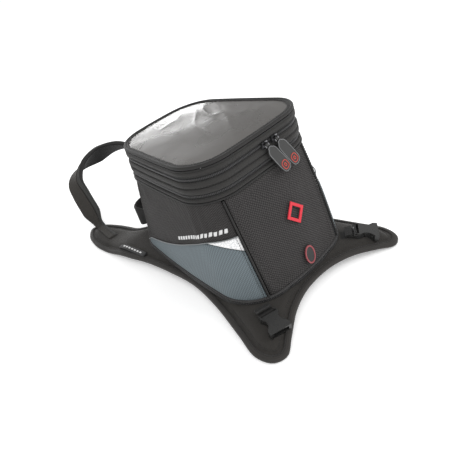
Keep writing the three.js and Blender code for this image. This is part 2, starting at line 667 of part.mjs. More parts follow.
// ---------------------------------------------------------------- rear marks
function onRearPanel(x, z, geometry) {
  const halfEdge = BASE.halfRear - BASE.radiusRear;
  const at = (dx, dz) => {
    const up = (z + dz - BODY_FLOOR) / (RIM_REAR - SHOULDER_DEPTH - BODY_FLOOR);
    return skin(7.5 - (x + dx) / (2 * halfEdge), bodyDepth(7.5, up));
  };
  const right = at(6, 0).sub(at(-6, 0)).normalize();
  const up = at(0, 6).sub(at(0, -6)).normalize();
  const out = right.clone().cross(up).normalize();
  const frame = new THREE.Matrix4().makeBasis(right, out.clone().cross(right), out);
  return geometry.applyMatrix4(frame.setPosition(at(0, 0).addScaledVector(out, MARK.clear)));
}

function diamond(radius) {
  return [[radius, 0], [0, radius], [-radius, 0], [0, -radius]];
}

function oval(a, b, sides = 24) {
  return Array.from({ length: sides }, (unused, k) => {
    const angle = 2 * Math.PI * k / sides;
    return [a * Math.cos(angle), b * Math.sin(angle)];
  });
}

function ringPlate(outer, inner, depth) {
  const hole = extrude(inner, depth + 2).translate(0, 0, -1);
  return geometryOf(solid(extrude(outer, depth)).subtract(solid(hole)));
}

function makeMarks() {
  const { size, rim, depth } = MARK;
  const emblem = ringPlate(diamond(size / 2), diamond(size / 2 - rim), depth);
  add('rear_emblem', onRearPanel(MARK.x, MARK.z, emblem), RED);
  const badge = (shrink) => oval(BADGE.halfWidth - shrink, BADGE.halfHeight - shrink);
  const ring = ringPlate(badge(0), badge(BADGE.rim), depth);
  const centre = extrude(badge(BADGE.rim + BADGE.clear), depth - 0.4);
  add('rear_badge_ring', onRearPanel(BADGE.x, BADGE.z, ring), RED);
  add('rear_badge_centre', onRearPanel(BADGE.x, BADGE.z, centre), RUBBER);
}

// ---------------------------------------------------------------- wing hardware
function buckleOutline() {
  const start = -BUCKLE.barRadius - 1.2;
  const shoulder = BUCKLE.bar / 2 + 2;
  const wide = BUCKLE.width / 2;
  const narrow = BUCKLE.waist / 2;
  const side = [
    [shoulder, start], [shoulder, -8], [narrow + 2.4, -11.5], [narrow, -15], [narrow, -20],
    [narrow + 1.6, -24], [wide - 2, -28], [wide, -31], [wide, -BUCKLE.length],
  ];
  return [...side.map(([x, y]) => [-x, y]), ...side.reverse()];
}

// The socket half of a side-release buckle: its mouth at -Y, the webbing's bar at the origin.
function buckleGeometry() {
  const { width, length, height, slot, barRadius, side } = BUCKLE;
  const mouth = BUCKLE_MOUTH;
  const [through, over] = [height + 2, 2];
  const cuts = [
    box(BUCKLE.bar + 0.2, slot, through, 0, 1 - slot / 2, 0),
    box(BUCKLE.bar + 6, 8, through, 0, 4, 0),
    box(mouth.width, mouth.depth + 1, mouth.height, 0, (mouth.depth - 1) / 2 - length, 0),
    box(mouth.throat, mouth.throatDepth + 1, mouth.height, 0, (mouth.throatDepth - 1) / 2 - length, 0),
    box(8, 10, side, -width / 2, -25, 0),
    box(8, 10, side, width / 2, -25, 0),
  ];
  let body = solid(extrude(buckleOutline(), height).translate(0, 0, -height / 2));
  for (const cut of cuts) body = body.subtract(solid(cut));
  for (const x of [-BUCKLE.bar / 2 - 1, BUCKLE.bar / 2 + 1]) {
    body = body.add(solid(box(over, slot + 2.4, side, x, 1 - slot / 2, 0)));
  }
  return geometryOf(body.add(solid(bar(barRadius, BUCKLE.bar + 2))));
}

// Side view of the webbing loop: round the buckle's bar, and back to the end that is sewn to the pad.
function tabOutline() {
  const inside = BUCKLE.barRadius + 0.4;
  const outside = inside + WEBBING;
  const seam = WEBBING - outside;
  const half = Math.PI / 2;
  const arc = (radius, from, to) => Array.from({ length: 9 }, (unused, k) => {
    const angle = mix(from, to, k / 8);
    return [radius * Math.cos(angle), radius * Math.sin(angle)];
  });
  const sewnEnd = [[TAB_END, -outside], [TAB_END, seam + WEBBING], [11, seam + WEBBING + 1]];
  const fold = [[6, outside - 0.6], [5, inside - 0.6], [9, seam + 1], [11, seam + 0.2], [5, -inside]];
  return [...arc(outside, half, 3 * half), ...sewnEnd, ...fold, ...arc(inside, 3 * half, half)];
}

function makeBuckles() {
  const { x, y, lift, tilt } = BUCKLE_PLACE;
  const tabWidth = BUCKLE.bar - 1.5;
  for (const { name, side, yaw } of BUCKLES) {
    const place = new THREE.Group();
    place.position.set(side * x, y, padTop(x, y) + lift);
    place.rotation.set(radians(tilt), 0, radians(yaw), 'ZYX');
    bag.add(place);
    const tab = extrude(tabOutline(), tabWidth).translate(0, 0, -tabWidth / 2);
    add(`${name}_buckle_socket`, buckleGeometry(), PLASTIC, place);
    add(`${name}_buckle_tab`, tab.rotateX(Math.PI / 2).rotateZ(Math.PI / 2), BLACK_FABRIC, place);
  }
}

// A patch of webbing or rubber that follows the pad.
function padPatch({ x, y, yaw, width, length, thickness }, clear = 1) {
  const steps = Math.ceil(length / 7);
  const [c, s] = [Math.cos(radians(yaw)), Math.sin(radians(yaw))];
  const at = (u, v, lift) => {
    const px = x + u * c - v * s;
    const py = y + u * s + v * c;
    return vec(px, py, padTop(px, py) + lift);
  };
  const across = [-0.5, -0.17, 0.17, 0.5].map((f) => f * width);
  const sections = Array.from({ length: steps + 1 }, (unused, i) => {
    const v = -length / 2 + length * i / steps;
    const upper = across.map((u) => at(u, v, clear + thickness));
    const lower = across.slice().reverse().map((u) => at(u, v, clear));
    return [...upper, ...lower];
  });
  return loft(sections);
}

function makeWingTrim() {
  add('wing_label', padPatch(LABEL), RUBBER);
  const { x, yaw } = STRAP_ANCHOR;
  add('left_strap_anchor', padPatch({ ...STRAP_ANCHOR, x: -x, yaw: -yaw }), PAD_FABRIC);
  add('right_strap_anchor', padPatch({ ...STRAP_ANCHOR, x, yaw }), PAD_FABRIC);
}

// ---------------------------------------------------------------- headstock strap
const STRAP_HALF_PATH = [[103, 3], [98, 42], [93, 76], [84, 108], [52, 132], [0, 138]];
const STRAP_TWIST = [[0, [1, 0, 0]], [0.35, [0.9, -0.4, 0]], [0.6, [0.3, -0.9, 0.3]], [0.8, [0, -0.7, 0.7]],
  [1, [0, -0.2, 0.98]]];

function strapWidthHint(t) {
  const k = Math.max(1, STRAP_TWIST.findIndex(([at]) => at >= t - 1e-6));
  const [[from, a], [to, b]] = [STRAP_TWIST[k - 1], STRAP_TWIST[k]];
  return vec(...a).lerp(vec(...b), (t - from) / (to - from));
}

function makeStrap() {
  const lean = radians(STRAP.lean);
  const place = ([x, u]) => vec(x, STRAP.rootY + u * Math.cos(lean), STRAP.rootZ + u * Math.sin(lean));
  const left = STRAP_HALF_PATH.map(([x, u]) => place([-x, u]));
  const right = STRAP_HALF_PATH.slice(0, -1).reverse().map(place);
  const path = new THREE.CatmullRomCurve3([...left, ...right], false, 'centripetal');
  const steps = 36;
  // Both layers start at the face they share, so that their twisted faces split along the same diagonals.
  const layer = (near, far) => Array.from({ length: steps + 1 }, (unused, i) => {
    const t = i / steps;
    const point = path.getPointAt(t);
    const tangent = path.getTangentAt(t);
    const towardsTop = 1 - Math.abs(2 * t - 1);
    const hint = strapWidthHint(towardsTop);
    if (t > 0.5) hint.x = -hint.x;
    const across = hint.addScaledVector(tangent, -hint.dot(tangent)).normalize();
    const through = tangent.clone().cross(across);
    const width = mix(STRAP.rootWidth, STRAP.width, ease(Math.min(1, towardsTop * STRAP.taper)));
    return [[-0.5, near], [0.5, near], [0.5, far], [-0.5, far]].map(([w, h]) => (
      point.clone().addScaledVector(across, w * width).addScaledVector(through, h)));
  });
  add('headstock_strap_cover', loft(layer(-GAP / 2, -GAP / 2 - STRAP.layer)), PAD_FABRIC);
  add('headstock_strap_lining', loft(layer(GAP / 2, GAP / 2 + STRAP.layer)), BLACK_FABRIC);
}

makePad();
makeBody();
makeBaseZip();
makeCollars();
makeLid();
makeMainPullers();
makeFrontSliders();
makeHandle();
makeMarks();
makeBuckles();
makeWingTrim();
makeStrap();

bag.position.z = PAD.thickness - PAD.crown;

export default bag;
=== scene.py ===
"""Motorcycle tank bag: the soft skin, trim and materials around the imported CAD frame.

Shapes are worked out in millimetres above the ground that the wing tips rest on, and moved to the row
frame, in metres, when a mesh is made. Materials, lamps and bevels are in metres.
"""

import math
from functools import lru_cache

import bmesh
import bpy
import numpy as np
from mathutils import Matrix, Vector, noise
from mathutils.bvhtree import BVHTree
from mathutils.geometry import delaunay_2d_cdt


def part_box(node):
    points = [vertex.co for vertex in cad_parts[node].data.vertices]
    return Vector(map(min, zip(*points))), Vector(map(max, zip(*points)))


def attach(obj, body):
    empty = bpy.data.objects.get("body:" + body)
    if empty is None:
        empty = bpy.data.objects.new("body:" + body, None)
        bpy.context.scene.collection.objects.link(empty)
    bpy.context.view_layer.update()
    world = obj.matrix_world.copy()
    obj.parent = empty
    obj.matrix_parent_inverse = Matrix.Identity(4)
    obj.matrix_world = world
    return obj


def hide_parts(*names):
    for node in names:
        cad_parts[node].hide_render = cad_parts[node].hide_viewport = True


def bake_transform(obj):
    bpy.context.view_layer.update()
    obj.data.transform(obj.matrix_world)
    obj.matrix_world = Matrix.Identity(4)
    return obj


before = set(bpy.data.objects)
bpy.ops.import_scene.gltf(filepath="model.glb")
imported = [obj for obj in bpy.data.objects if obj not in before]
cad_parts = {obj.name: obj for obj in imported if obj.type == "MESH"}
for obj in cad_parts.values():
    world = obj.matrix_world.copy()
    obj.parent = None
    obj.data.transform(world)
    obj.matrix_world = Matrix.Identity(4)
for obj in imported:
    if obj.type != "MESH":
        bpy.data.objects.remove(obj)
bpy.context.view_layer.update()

# ------------------------------------------------------------------ dimensions
MM = 0.001
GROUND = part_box("pad_edge_binding")[0].z
UPRIGHT = (0, 0, 1)

# The bag's plan at the base seam, the shoulder seam and the lid's edge: each a rounded trapezoid.
BASE = dict(half_rear=126, half_front=93, rear=-197, front=151, radius_rear=70, radius_front=62)
SHOULDER = dict(half_rear=121, half_front=90, rear=-154, front=111, radius_rear=58, radius_front=64)
RIM = dict(half_rear=120, half_front=89, rear=-150, front=108, radius_rear=56, radius_front=65)
BODY_FLOOR = 34.4
RIM_REAR, RIM_SLOPE = 257.0, 16 / 258
SHOULDER_DEPTH = 58.0
BULGE_EDGE, BULGE_MIDDLE, BULGE_BASE = 1.4, 7.0, 5.0
SWELL_CORNER, SWELL_SIDE = 0.35, 2.6
WALL = 3.0

PAD_CROWN, PAD_TIP, PAD_FALL = 25.0, 8.0, 85.0
PAD_FLAT_X, PAD_FLAT_REAR, PAD_FLAT_FRONT = 100.0, -205.0, 160.0
PAD_HALF_OUTLINE = [
    (0, -215), (34, -218), (72, -230), (112, -252), (138, -265), (158, -256), (166, -228), (154, -184),
    (134, -112), (122, -41), (123, 27), (128, 89), (139, 154), (147, 219), (149, 265), (138, 312),
    (118, 334), (96, 322), (80, 290), (68, 250), (60, 205), (44, 176), (18, 168),
]
PAD_BORDER = [  # cross-section of the pad's edge tape: inset from the edge, height over the pad's top
    (9.0, -1.1), (7.5, -0.7), (5.0, -0.4), (2.6, -0.5), (1.0, -1.3), (0.1, -2.9), (0.0, -4.4), (0.4, -6.2),
    (1.6, -7.4), (4.0, -7.9), (9.0, -8.0), (9.0, -7.2), (3.4, -7.0), (1.6, -4.4), (3.2, -1.9), (9.0, -1.9),
]
PAD_SEAM_INSET, PAD_SEAM_DEPTH, PAD_SEAM_WIDTH = 10.0, 1.6, 1.8
PAD_STITCHES = [(7.4, -0.55), (15.0, -0.6)]  # inset from the edge, height over the pad's top
COVER_INSET, UNDERSIDE_INSET = 2.6, 2.8
COVER_BOTTOM, UNDERSIDE_TOP, UNDERSIDE_EDGE, UNDERSIDE_BOTTOM = 6.6, 6.8, 7.1, 8.0

# Seams and zip ends are stations on the bag's plan, counted as plan_point says.
CORNER_SEAM, FRONT_SEAM = 0.31, 2.6
SEAM_GAP, FRONT_GAP = 0.024, 0.004
ACCENT_CORNER = 0.87
ZIP_FROM, ZIP_TO = 4.26, 10.74
COLLAR_FOLD, ZIP_THICKNESS = 31.6, 1.8
HINGE_FROM, HINGE_MIDDLE, HINGE_TO = 2.76, 3.5, 4.24
HINGE_TOP, HINGE_BOTTOM, HINGE_START, HINGE_END = 13.9, 21.7, 21.6, 13.9
TOOTH_PITCH, TOOTH_WIDTH, TOOTH_THICKNESS, TOOTH_HEIGHT = 2.4, 1.5, 1.3, 3.4

STRAP_SEWN_PATH = [(112, 246), (110, 272), (106, 300), (104, 316)]  # on the wing: x, y
STRAP_HALF_PATH = [(103, 3), (98, 42), (93, 76), (84, 108), (52, 132), (0, 138)]  # x, distance up the loop
STRAP_TWIST = [(0, (1, 0, 0)), (0.35, (0.9, -0.4, 0)), (0.6, (0.3, -0.9, 0.3)), (0.8, (0, -0.7, 0.7)),
               (1, (0, -0.2, 0.98))]
STRAP_LEAN = math.radians(48)
STRAP_ROOT = (325.0, 14.0)
STRAP_SEWN, STRAP_LINED_FROM = 78.0, 70.0
STRAP_ROOT_WIDTH, STRAP_WIDTH = 19.0, 37.0

PULLER_TILT, PULLER_LEAN = 25.0, 11.0
PULLER_PLACES = {"left": 5.7, "right": 26.5}
PULLER_DEPTH, PULLER_PROUD, PULLER_HALF_THICK, PULLER_TIP, MARK_CENTRE = 18, 6.6, 1.7, -56.0, -44.5
PULLER_HALF_OUTLINE = [(3.2, -4.4), (4.4, -6.6), (7.0, -9.4), (8.6, -13.4), (9.0, -20.0), (9.0, -46.0),
                       (7.4, -52.4), (4.0, -55.4)]


# ------------------------------------------------------------------ small maths
def ease(t):
    """A smooth step from 0 to 1."""
    t = min(1.0, max(0.0, t))
    return t * t * (3 - 2 * t)


def mix(a, b, t):
    """The value a share `t` of the way from a to b."""
    return a + (b - a) * t


def unit(vectors):
    """One vector, or each vector of a row, brought to length 1."""
    return vectors / np.linalg.norm(vectors, axis=-1, keepdims=True)


def run_length(points):
    """Distance along a path at each of its points."""
    return np.concatenate([[0], np.cumsum(np.linalg.norm(np.diff(points, axis=0), axis=1))])


def at_run(run, values, at):
    """Values that are given along a path, read at a distance along it."""
    return np.array([np.interp(at, run, values[:, k]) for k in range(values.shape[1])])


def left_of(outline):
    """Unit vectors to the left of a closed plane outline, as it is walked."""
    ahead = np.roll(outline, -1, 0) - np.roll(outline, 1, 0)
    return unit(np.stack([-ahead[:, 1], ahead[:, 0]], 1))


def wobble(*at, size=40.0, seed=0.0):
    """Smooth noise from -1 to 1 that changes over about `size` millimetres."""
    place = Vector([a / size for a in at] + [0.0] * (3 - len(at)))
    return noise.noise(place + Vector((seed, seed * 1.7, 3.1)))


def dome(x, y):
    """Height of the pad's top."""
    across = max(0.0, abs(x) - PAD_FLAT_X)
    along = max(0.0, PAD_FLAT_REAR - y, y - PAD_FLAT_FRONT)
    return PAD_CROWN - (PAD_CROWN - PAD_TIP) * ease(math.hypot(across, along) / PAD_FALL)


def spline(points, closed, count):
    """Evenly spaced points on a centripetal Catmull-Rom curve."""
    pts = [np.array(p, float) for p in points]
    n = len(pts)
    fine = []
    for i in range(n if closed else n - 1):
        if closed:
            p0, p1, p2, p3 = (pts[(i + k) % n] for k in (-1, 0, 1, 2))
        else:
            p1, p2 = pts[i], pts[i + 1]
            p0 = pts[i - 1] if i else 2 * p1 - p2
            p3 = pts[i + 2] if i + 2 < n else 2 * p2 - p1
        d1, d2, d3 = (max(1e-6, np.linalg.norm(b - a)) ** 0.5 for a, b in ((p0, p1), (p1, p2), (p2, p3)))
        m1 = ((p1 - p0) / d1 - (p2 - p0) / (d1 + d2) + (p2 - p1) / d2) * d2
        m2 = ((p2 - p1) / d2 - (p3 - p1) / (d2 + d3) + (p3 - p2) / d3) * d2
        for k in range(24):
            t = k / 24
            fine.append((2 * t**3 - 3 * t**2 + 1) * p1 + (t**3 - 2 * t**2 + t) * m1
                        + (3 * t**2 - 2 * t**3) * p2 + (t**3 - t**2) * m2)
    fine = np.array(fine + [pts[0] if closed else pts[-1]])
    run = run_length(fine)
    even = at_run(run, fine, np.linspace(0, run[-1], count + 1 if closed else count)).T
    return even[:-1] if closed else even


def mirrored(half, middle):
    """One half of an outline, points on the middle line, then the mirror image of the half."""
    return half + middle + [(-x, y) for x, y in reversed(half)]


def set_all(target, **values):
    """Sets several of a Blender object's properties."""
    for key, value in values.items():
        setattr(target, key, value)


# ------------------------------------------------------------------ the bag's skin
@lru_cache(maxsize=None)
def plan_point(plan, station):
    """Point, outward normal and swell on a rounded trapezoid.

    Stations run from 0 to 8 as in the CAD, from the rear left corner's start and up the left side: each
    even whole number starts a corner and each odd one a straight edge."""
    half_rear, half_front, rear, front, radius_rear, radius_front = plan
    ends = ((-half_rear, rear), (-half_front, front), (half_front, front), (half_rear, rear))
    corners = [np.array(end, float) for end in ends]
    radii = (radius_rear, radius_front, radius_front, radius_rear)

    def arc(i):
        p = corners[i]
        before = corners[i - 1] - p
        after = corners[(i + 1) % 4] - p
        before /= np.linalg.norm(before)
        after /= np.linalg.norm(after)
        half = math.acos(float(before @ after)) / 2
        middle = (before + after) / np.linalg.norm(before + after)
        reach, turn = radii[i] / math.tan(half), math.pi - 2 * half
        return p + middle * radii[i] / math.sin(half), p + before * reach, p + after * reach, turn

    whole = math.floor(station)
    t = station - whole
    whole %= 8
    centre, start, end, turn = arc(whole // 2)
    if whole % 2 == 0:
        spoke = start - centre
        c, s = math.cos(-turn * t), math.sin(-turn * t)
        spoke = np.array([c * spoke[0] - s * spoke[1], s * spoke[0] + c * spoke[1]])
        return centre + spoke, spoke / np.linalg.norm(spoke), SWELL_CORNER
    run = arc((whole // 2 + 1) % 4)[1] - end
    normal = np.array([-run[1], run[0]]) / np.linalg.norm(run)
    return end + run * t, normal, SWELL_CORNER + SWELL_SIDE * t * (1 - t)


def plan_between(a, b, t):
    """A plan's measures a share `t` of the way from one plan to another."""
    return tuple(mix(a[k], b[k], t) for k in a)


BASE_KEY, SHOULDER_KEY, RIM_KEY = (tuple(plan.values()) for plan in (BASE, SHOULDER, RIM))


def outward(station, plan=SHOULDER_KEY):
    """Level unit vector out of the bag at a station."""
    return np.append(plan_point(plan, round(float(station), 6))[1], 0)


def lid_plane(y):
    """Height of the lid's edge, which falls from the rear to the front."""
    return RIM_REAR - RIM_SLOPE * (y - RIM["rear"])


def rim_height(station):
    """Height of the lid's edge at a station."""
    return lid_plane(plan_point(RIM_KEY, station)[0][1])


def skin(station, depth, proud=0.0):
    """Point on the bag's outer skin at a depth under the lid's edge."""
    edge = rim_height(station)
    up = 1 - (depth - SHOULDER_DEPTH) / (edge - SHOULDER_DEPTH - BODY_FLOOR)
    if depth > SHOULDER_DEPTH:
        plan = plan_between(BASE, SHOULDER, round(up, 5))
        bulge = mix(BULGE_BASE, BULGE_EDGE, up) + BULGE_MIDDLE * math.sin(math.pi * up)
    else:
        plan = plan_between(RIM, SHOULDER, round(depth / SHOULDER_DEPTH, 5))
        bulge = BULGE_EDGE
    point, normal, swell = plan_point(plan, round(station, 6))
    x, y = point + normal * (bulge * swell + proud)
    return np.array([x, y, edge - depth])


def body_depth(station, up):
    """Depth of a point on the walls, from `up` 0 at the base seam to 1 at the shoulder seam."""
    return SHOULDER_DEPTH + (1 - up) * (rim_height(station) - SHOULDER_DEPTH - BODY_FLOOR)


def wall_point(station, up, proud=0.0):
    """Point on the walls, or `proud` of them, at a station and a share of their height."""
    return skin(station, body_depth(station, up), proud)


def stations(start, stop, corner=18, side=14):
    """Stations between two ends, evenly spread over each corner and edge."""
    apart = 0.012
    found = [start]
    for whole in range(math.floor(start), math.ceil(stop)):
        steps = corner if whole % 2 == 0 else side
        found += [s for s in (whole + k / steps for k in range(steps)) if start + apart < s < stop - apart]
    return found + [stop]


ROUND = stations(0, 8)[:-1]
ROUND_AND_BACK = ROUND + ROUND[:1]


# ------------------------------------------------------------------ meshes
def to_row(point):
    """A point in millimetres above the ground, in the row frame."""
    return (point[0] * MM, point[1] * MM, point[2] * MM + GROUND)


def new_object(name, points, faces, uvs=None, closed=True):
    """A smooth mesh from points in millimetres above the ground; uvs are in metres along the cloth.

    The faces of a closed mesh are turned outwards."""
    co = np.array(points, float) * MM
    co[:, 2] += GROUND
    mesh = bpy.data.meshes.new(name)
    mesh.from_pydata(co.tolist(), [], faces)
    mesh.validate()
    if uvs is not None:
        layer = mesh.uv_layers.new(name="UVMap")
        index = np.zeros(len(mesh.loops), np.int64)
        mesh.loops.foreach_get("vertex_index", index)
        layer.data.foreach_set("uv", np.array(uvs, float)[index].ravel())
    obj = bpy.data.objects.new(name, mesh)
    bpy.context.collection.objects.link(obj)
    mesh.polygons.foreach_set("use_smooth", [True] * len(mesh.polygons))
    if closed:
        bm = bmesh.new()
        bm.from_mesh(mesh)
        bmesh.ops.recalc_face_normals(bm, faces=bm.faces)
        bm.to_mesh(mesh)
        bm.free()
    return obj


def quads(rows, columns, close_rows=False, close_columns=False):
    """Faces of a grid of points that are numbered row by row."""
    faces = []
    for i in range(rows if close_rows else rows - 1):
        here, there = i * columns, (i + 1) % rows * columns
        for k in range(columns if close_columns else columns - 1):
            q = (k + 1) % columns
            faces.append((here + k, there + k, there + q, here + q))
    return faces


def grid_uv(rows):
    """Distances in metres along and across a grid of points."""
    p = np.array(rows, float)
    along, across = run_length(p[:, p.shape[1] // 2]), run_length(p[p.shape[0] // 2])
    return np.stack(np.meshgrid(along, across, indexing="ij"), -1) * MM


def sweep(name, sections, closed):
    """A solid through sections, each a loop of the same number of points; `closed` joins last to first."""
    p = np.array(sections, float)
    n, m = p.shape[:2]
    uv = grid_uv(np.concatenate([p, p[:, :1]], axis=1))[:, :m]
    faces = quads(n, m, closed, True)
    if not closed:
        faces += [tuple(range(m)), tuple(range((n - 1) * m, n * m))[::-1]]
    return new_object(name, p.reshape(-1, 3), faces, uv.reshape(-1, 2))


def double_sheet(name, outer, inner, faces, uv):
    """A closed sheet: the same faces over two sets of points, with a wall where a face has no neighbour."""
    outer, inner = (np.array(side, float).reshape(-1, 3) for side in (outer, inner))
    n = len(outer)
    edges = dict.fromkeys(edge for face in faces for edge in zip(face, face[1:] + face[:1]))
    under = [tuple(n + i for i in face[:1] + face[:0:-1]) for face in faces]
    walls = [(b, a, n + a, n + b) for a, b in edges if (b, a) not in edges]
    return new_object(name, np.concatenate([outer, inner]), faces + under + walls, np.concatenate([uv, uv]))


def shell(name, outer, inner):
    """A closed sheet from an outer and an inner grid of points."""
    outer = np.array(outer, float)
    return double_sheet(name, outer, inner, quads(*outer.shape[:2]), grid_uv(outer).reshape(-1, 2))


def disc(name, upper, lower):
    """A closed disc from two grids of rings, each from the middle out."""
    n, m = upper.shape[:2]
    faces = [tuple(range(m))] + quads(n, m, False, True)
    return double_sheet(name, upper, lower, faces, upper.reshape(-1, 3)[:, :2] * MM)


def small_bars(name, bars):
    """One mesh of many small closed bars, each given as loops of points from end to end."""
    p = np.array(bars, float)
    count, levels, m = p.shape[:3]
    size = levels * m
    bar = [(a, d, c, b) for a, b, c, d in quads(levels, m, False, True)]
    bar += [tuple(range(m))[::-1], tuple(range(size - m, size))]
    faces = [tuple(first + i for i in face) for first in range(0, count * size, size) for face in bar]
    return new_object(name, p.reshape(-1, 3), faces)


def rounded(width, height, corner, steps=4):
    """A rounded rectangle as a loop of points, anticlockwise, about the origin."""
    loop = []
    for q, (sx, sy) in enumerate(((1, 1), (-1, 1), (-1, -1), (1, -1))):
        for k in range(steps + 1):
            angle = math.pi / 2 * (q + k / steps)
            loop.append((sx * (width / 2 - corner) + corner * math.cos(angle),
                         sy * (height / 2 - corner) + corner * math.sin(angle)))
    return loop


def circle(sides=10):
    """A circle of radius 1 as a loop of points."""
    return [(math.cos(2 * math.pi * k / sides), math.sin(2 * math.pi * k / sides)) for k in range(sides)]


def mirror(points, flip):
    """Points of the left side, or their mirror images on the right."""
    p = np.array(points, float)
    if flip:
        p[..., 0] *= -1
    return p


def finish_piece(obj, body, material, replaced=()):
    """Gives a piece its material and body, and hides the CAD nodes it stands in for."""
    obj.data.materials.clear()
    obj.data.materials.append(material)
    if body:
        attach(obj, body)
    if replaced:
        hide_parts(*replaced)
    return obj


def keep_node(node, material, bevel=0.0):
    """Gives a CAD node its finish and softens its edges."""
    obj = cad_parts[node]
    obj.data.materials.clear()
    obj.data.materials.append(material)
    if bevel:
        modifier = obj.modifiers.new("soft_edges", "BEVEL")
        set_all(modifier, width=bevel, segments=3, limit_method="ANGLE", angle_limit=math.radians(28),
                harden_normals=True)


def stitches(name, path, normals, body, pitch=4.2, length=2.9, radius=0.42, material=None):
    """A row of short threads that lie along a path of points, one mesh."""
    p, out = np.array(path, float), np.array(normals, float)
    run = run_length(p)
    count = max(1, int(run[-1] / pitch))
    threads = []
    for i in range(count):
        ends = [run[-1] * (i + 0.5) / count + end * length / 2 for end in (-1, 1)]
        a, b = (at_run(run, p, end) for end in ends)
        n = unit(at_run(run, out, sum(ends) / 2))
        side = np.cross(n, (b - a) / max(1e-6, np.linalg.norm(b - a)))
        thread = []
        for t, thin in ((-0.02, 0.35), (0.2, 1.0), (0.8, 1.0), (1.02, 0.35)):
            middle = a + (b - a) * t + n * radius * (0.55 if 0 < t < 1 else -0.2)
            thread.append([middle + radius * thin * (side * c + n * s) for c, s in circle(6)])
        threads.append(thread)
    return finish_piece(small_bars(name, threads), body, material or THREAD)


# ------------------------------------------------------------------ materials
class Nodes:
    """A short way to write a material's node tree."""

    def __init__(self, name, **shader):
        self.material = bpy.data.materials.new(name)
        self.material.use_nodes = True
        self.tree = self.material.node_tree
        self.shader = self.tree.nodes["Principled BSDF"]
        for key, value in shader.items():
            self.shader.inputs[key.replace("_", " ")].default_value = value
        coordinates = self.add("ShaderNodeTexCoord")
        self.uv, self.place = coordinates.outputs["UV"], coordinates.outputs["Object"]

    def add(self, kind, operation=None, inputs=(), **settings):
        node = self.tree.nodes.new(kind)
        if operation:
            node.operation = operation
        set_all(node, **settings)
        for key, value in (inputs.items() if isinstance(inputs, dict) else enumerate(inputs)):
            if isinstance(value, bpy.types.NodeSocket):
                self.tree.links.new(value, node.inputs[key])
            else:
                node.inputs[key].default_value = value
        return node

    def math(self, operation, *inputs):
        return self.add("ShaderNodeMath", operation, inputs).outputs[0]

    def noise(self, scale, detail=2.0):
        inputs = {"Vector": self.place, "Scale": scale, "Detail": detail}
        return self.add("ShaderNodeTexNoise", inputs=inputs).outputs["Fac"]

    def cells(self, scale, **settings):
        node = self.add("ShaderNodeTexVoronoi", inputs={"Vector": self.place, "Scale": scale}, **settings)
        return node.outputs["Distance"]

    def colour(self, factor, dark, light):
        """Base colour between two, each three numbers or one for a grey."""
        dark, light = ((*c, 1) if isinstance(c, tuple) else (c, c, c, 1) for c in (dark, light))
        node = self.add("ShaderNodeMix", data_type="RGBA", inputs={"Factor": factor, "A": dark, "B": light})
        self.tree.links.new(node.outputs["Result"], self.shader.inputs["Base Color"])

    def bump(self, height, strength, distance):
        inputs = {"Height": height, "Strength": strength, "Distance": distance}
        node = self.add("ShaderNodeBump", inputs=inputs)
        self.tree.links.new(node.outputs["Normal"], self.shader.inputs["Normal"])

    def rough(self, factor, low, high):
        node = self.add("ShaderNodeMapRange", inputs={"Value": factor, "To Min": low, "To Max": high})
        self.tree.links.new(node.outputs["Result"], self.shader.inputs["Roughness"])


def weave_height(nodes, vector, thread, turn):
    """Height of a plain weave, from 0 to 1: warp and weft pass over each other in turn."""
    mapping = nodes.add("ShaderNodeMapping", inputs={
        "Vector": vector, "Rotation": (0, 0, turn), "Scale": (1 / thread,) * 3})
    parts = nodes.add("ShaderNodeSeparateXYZ", inputs=[mapping.outputs[0]])
    x, y = parts.outputs[0], parts.outputs[1]
    both = nodes.math("ADD", nodes.math("FLOOR", x), nodes.math("FLOOR", y))
    over = nodes.math("MULTIPLY", nodes.math("FRACT", nodes.math("MULTIPLY", both, 0.5)), 2.0)
    sx, sy = (nodes.math("SINE", nodes.math("MULTIPLY", nodes.math("FRACT", v), math.pi)) for v in (x, y))
    weft = nodes.math("MULTIPLY", sy, nodes.math("MULTIPLY_ADD", sx, 0.45, 0.55))
    warp = nodes.math("MULTIPLY", sx, nodes.math("MULTIPLY_ADD", sy, 0.45, 0.55))
    kept = nodes.math("MULTIPLY", weft, over)
    other = nodes.math("MULTIPLY", warp, nodes.math("SUBTRACT", 1.0, over))
    return nodes.math("ADD", kept, other)


def cloth(name, dark, light, thread=0.0013, relief=0.0004, sheen=0.1, by_uv=True):
    """Woven fabric with a visible weave, worn patches and a little sheen."""
    nodes = Nodes(name, Sheen_Weight=sheen, Sheen_Roughness=0.5, Specular_IOR_Level=0.22)
    height = weave_height(nodes, nodes.uv if by_uv else nodes.place, thread, math.radians(45))
    worn = nodes.noise(14.0, 4.0)
    fine = nodes.noise(900.0)
    tone = nodes.math("MULTIPLY_ADD", height, 0.75, nodes.math("MULTIPLY", worn, 0.25))
    tone = nodes.math("ADD", tone, nodes.math("MULTIPLY_ADD", fine, 0.3, -0.15))
    nodes.colour(tone, dark, light)
    nodes.rough(worn, 0.75, 0.92)
    nodes.bump(nodes.math("ADD", height, nodes.math("MULTIPLY", fine, 0.5)), 0.7, relief)
    return nodes.material


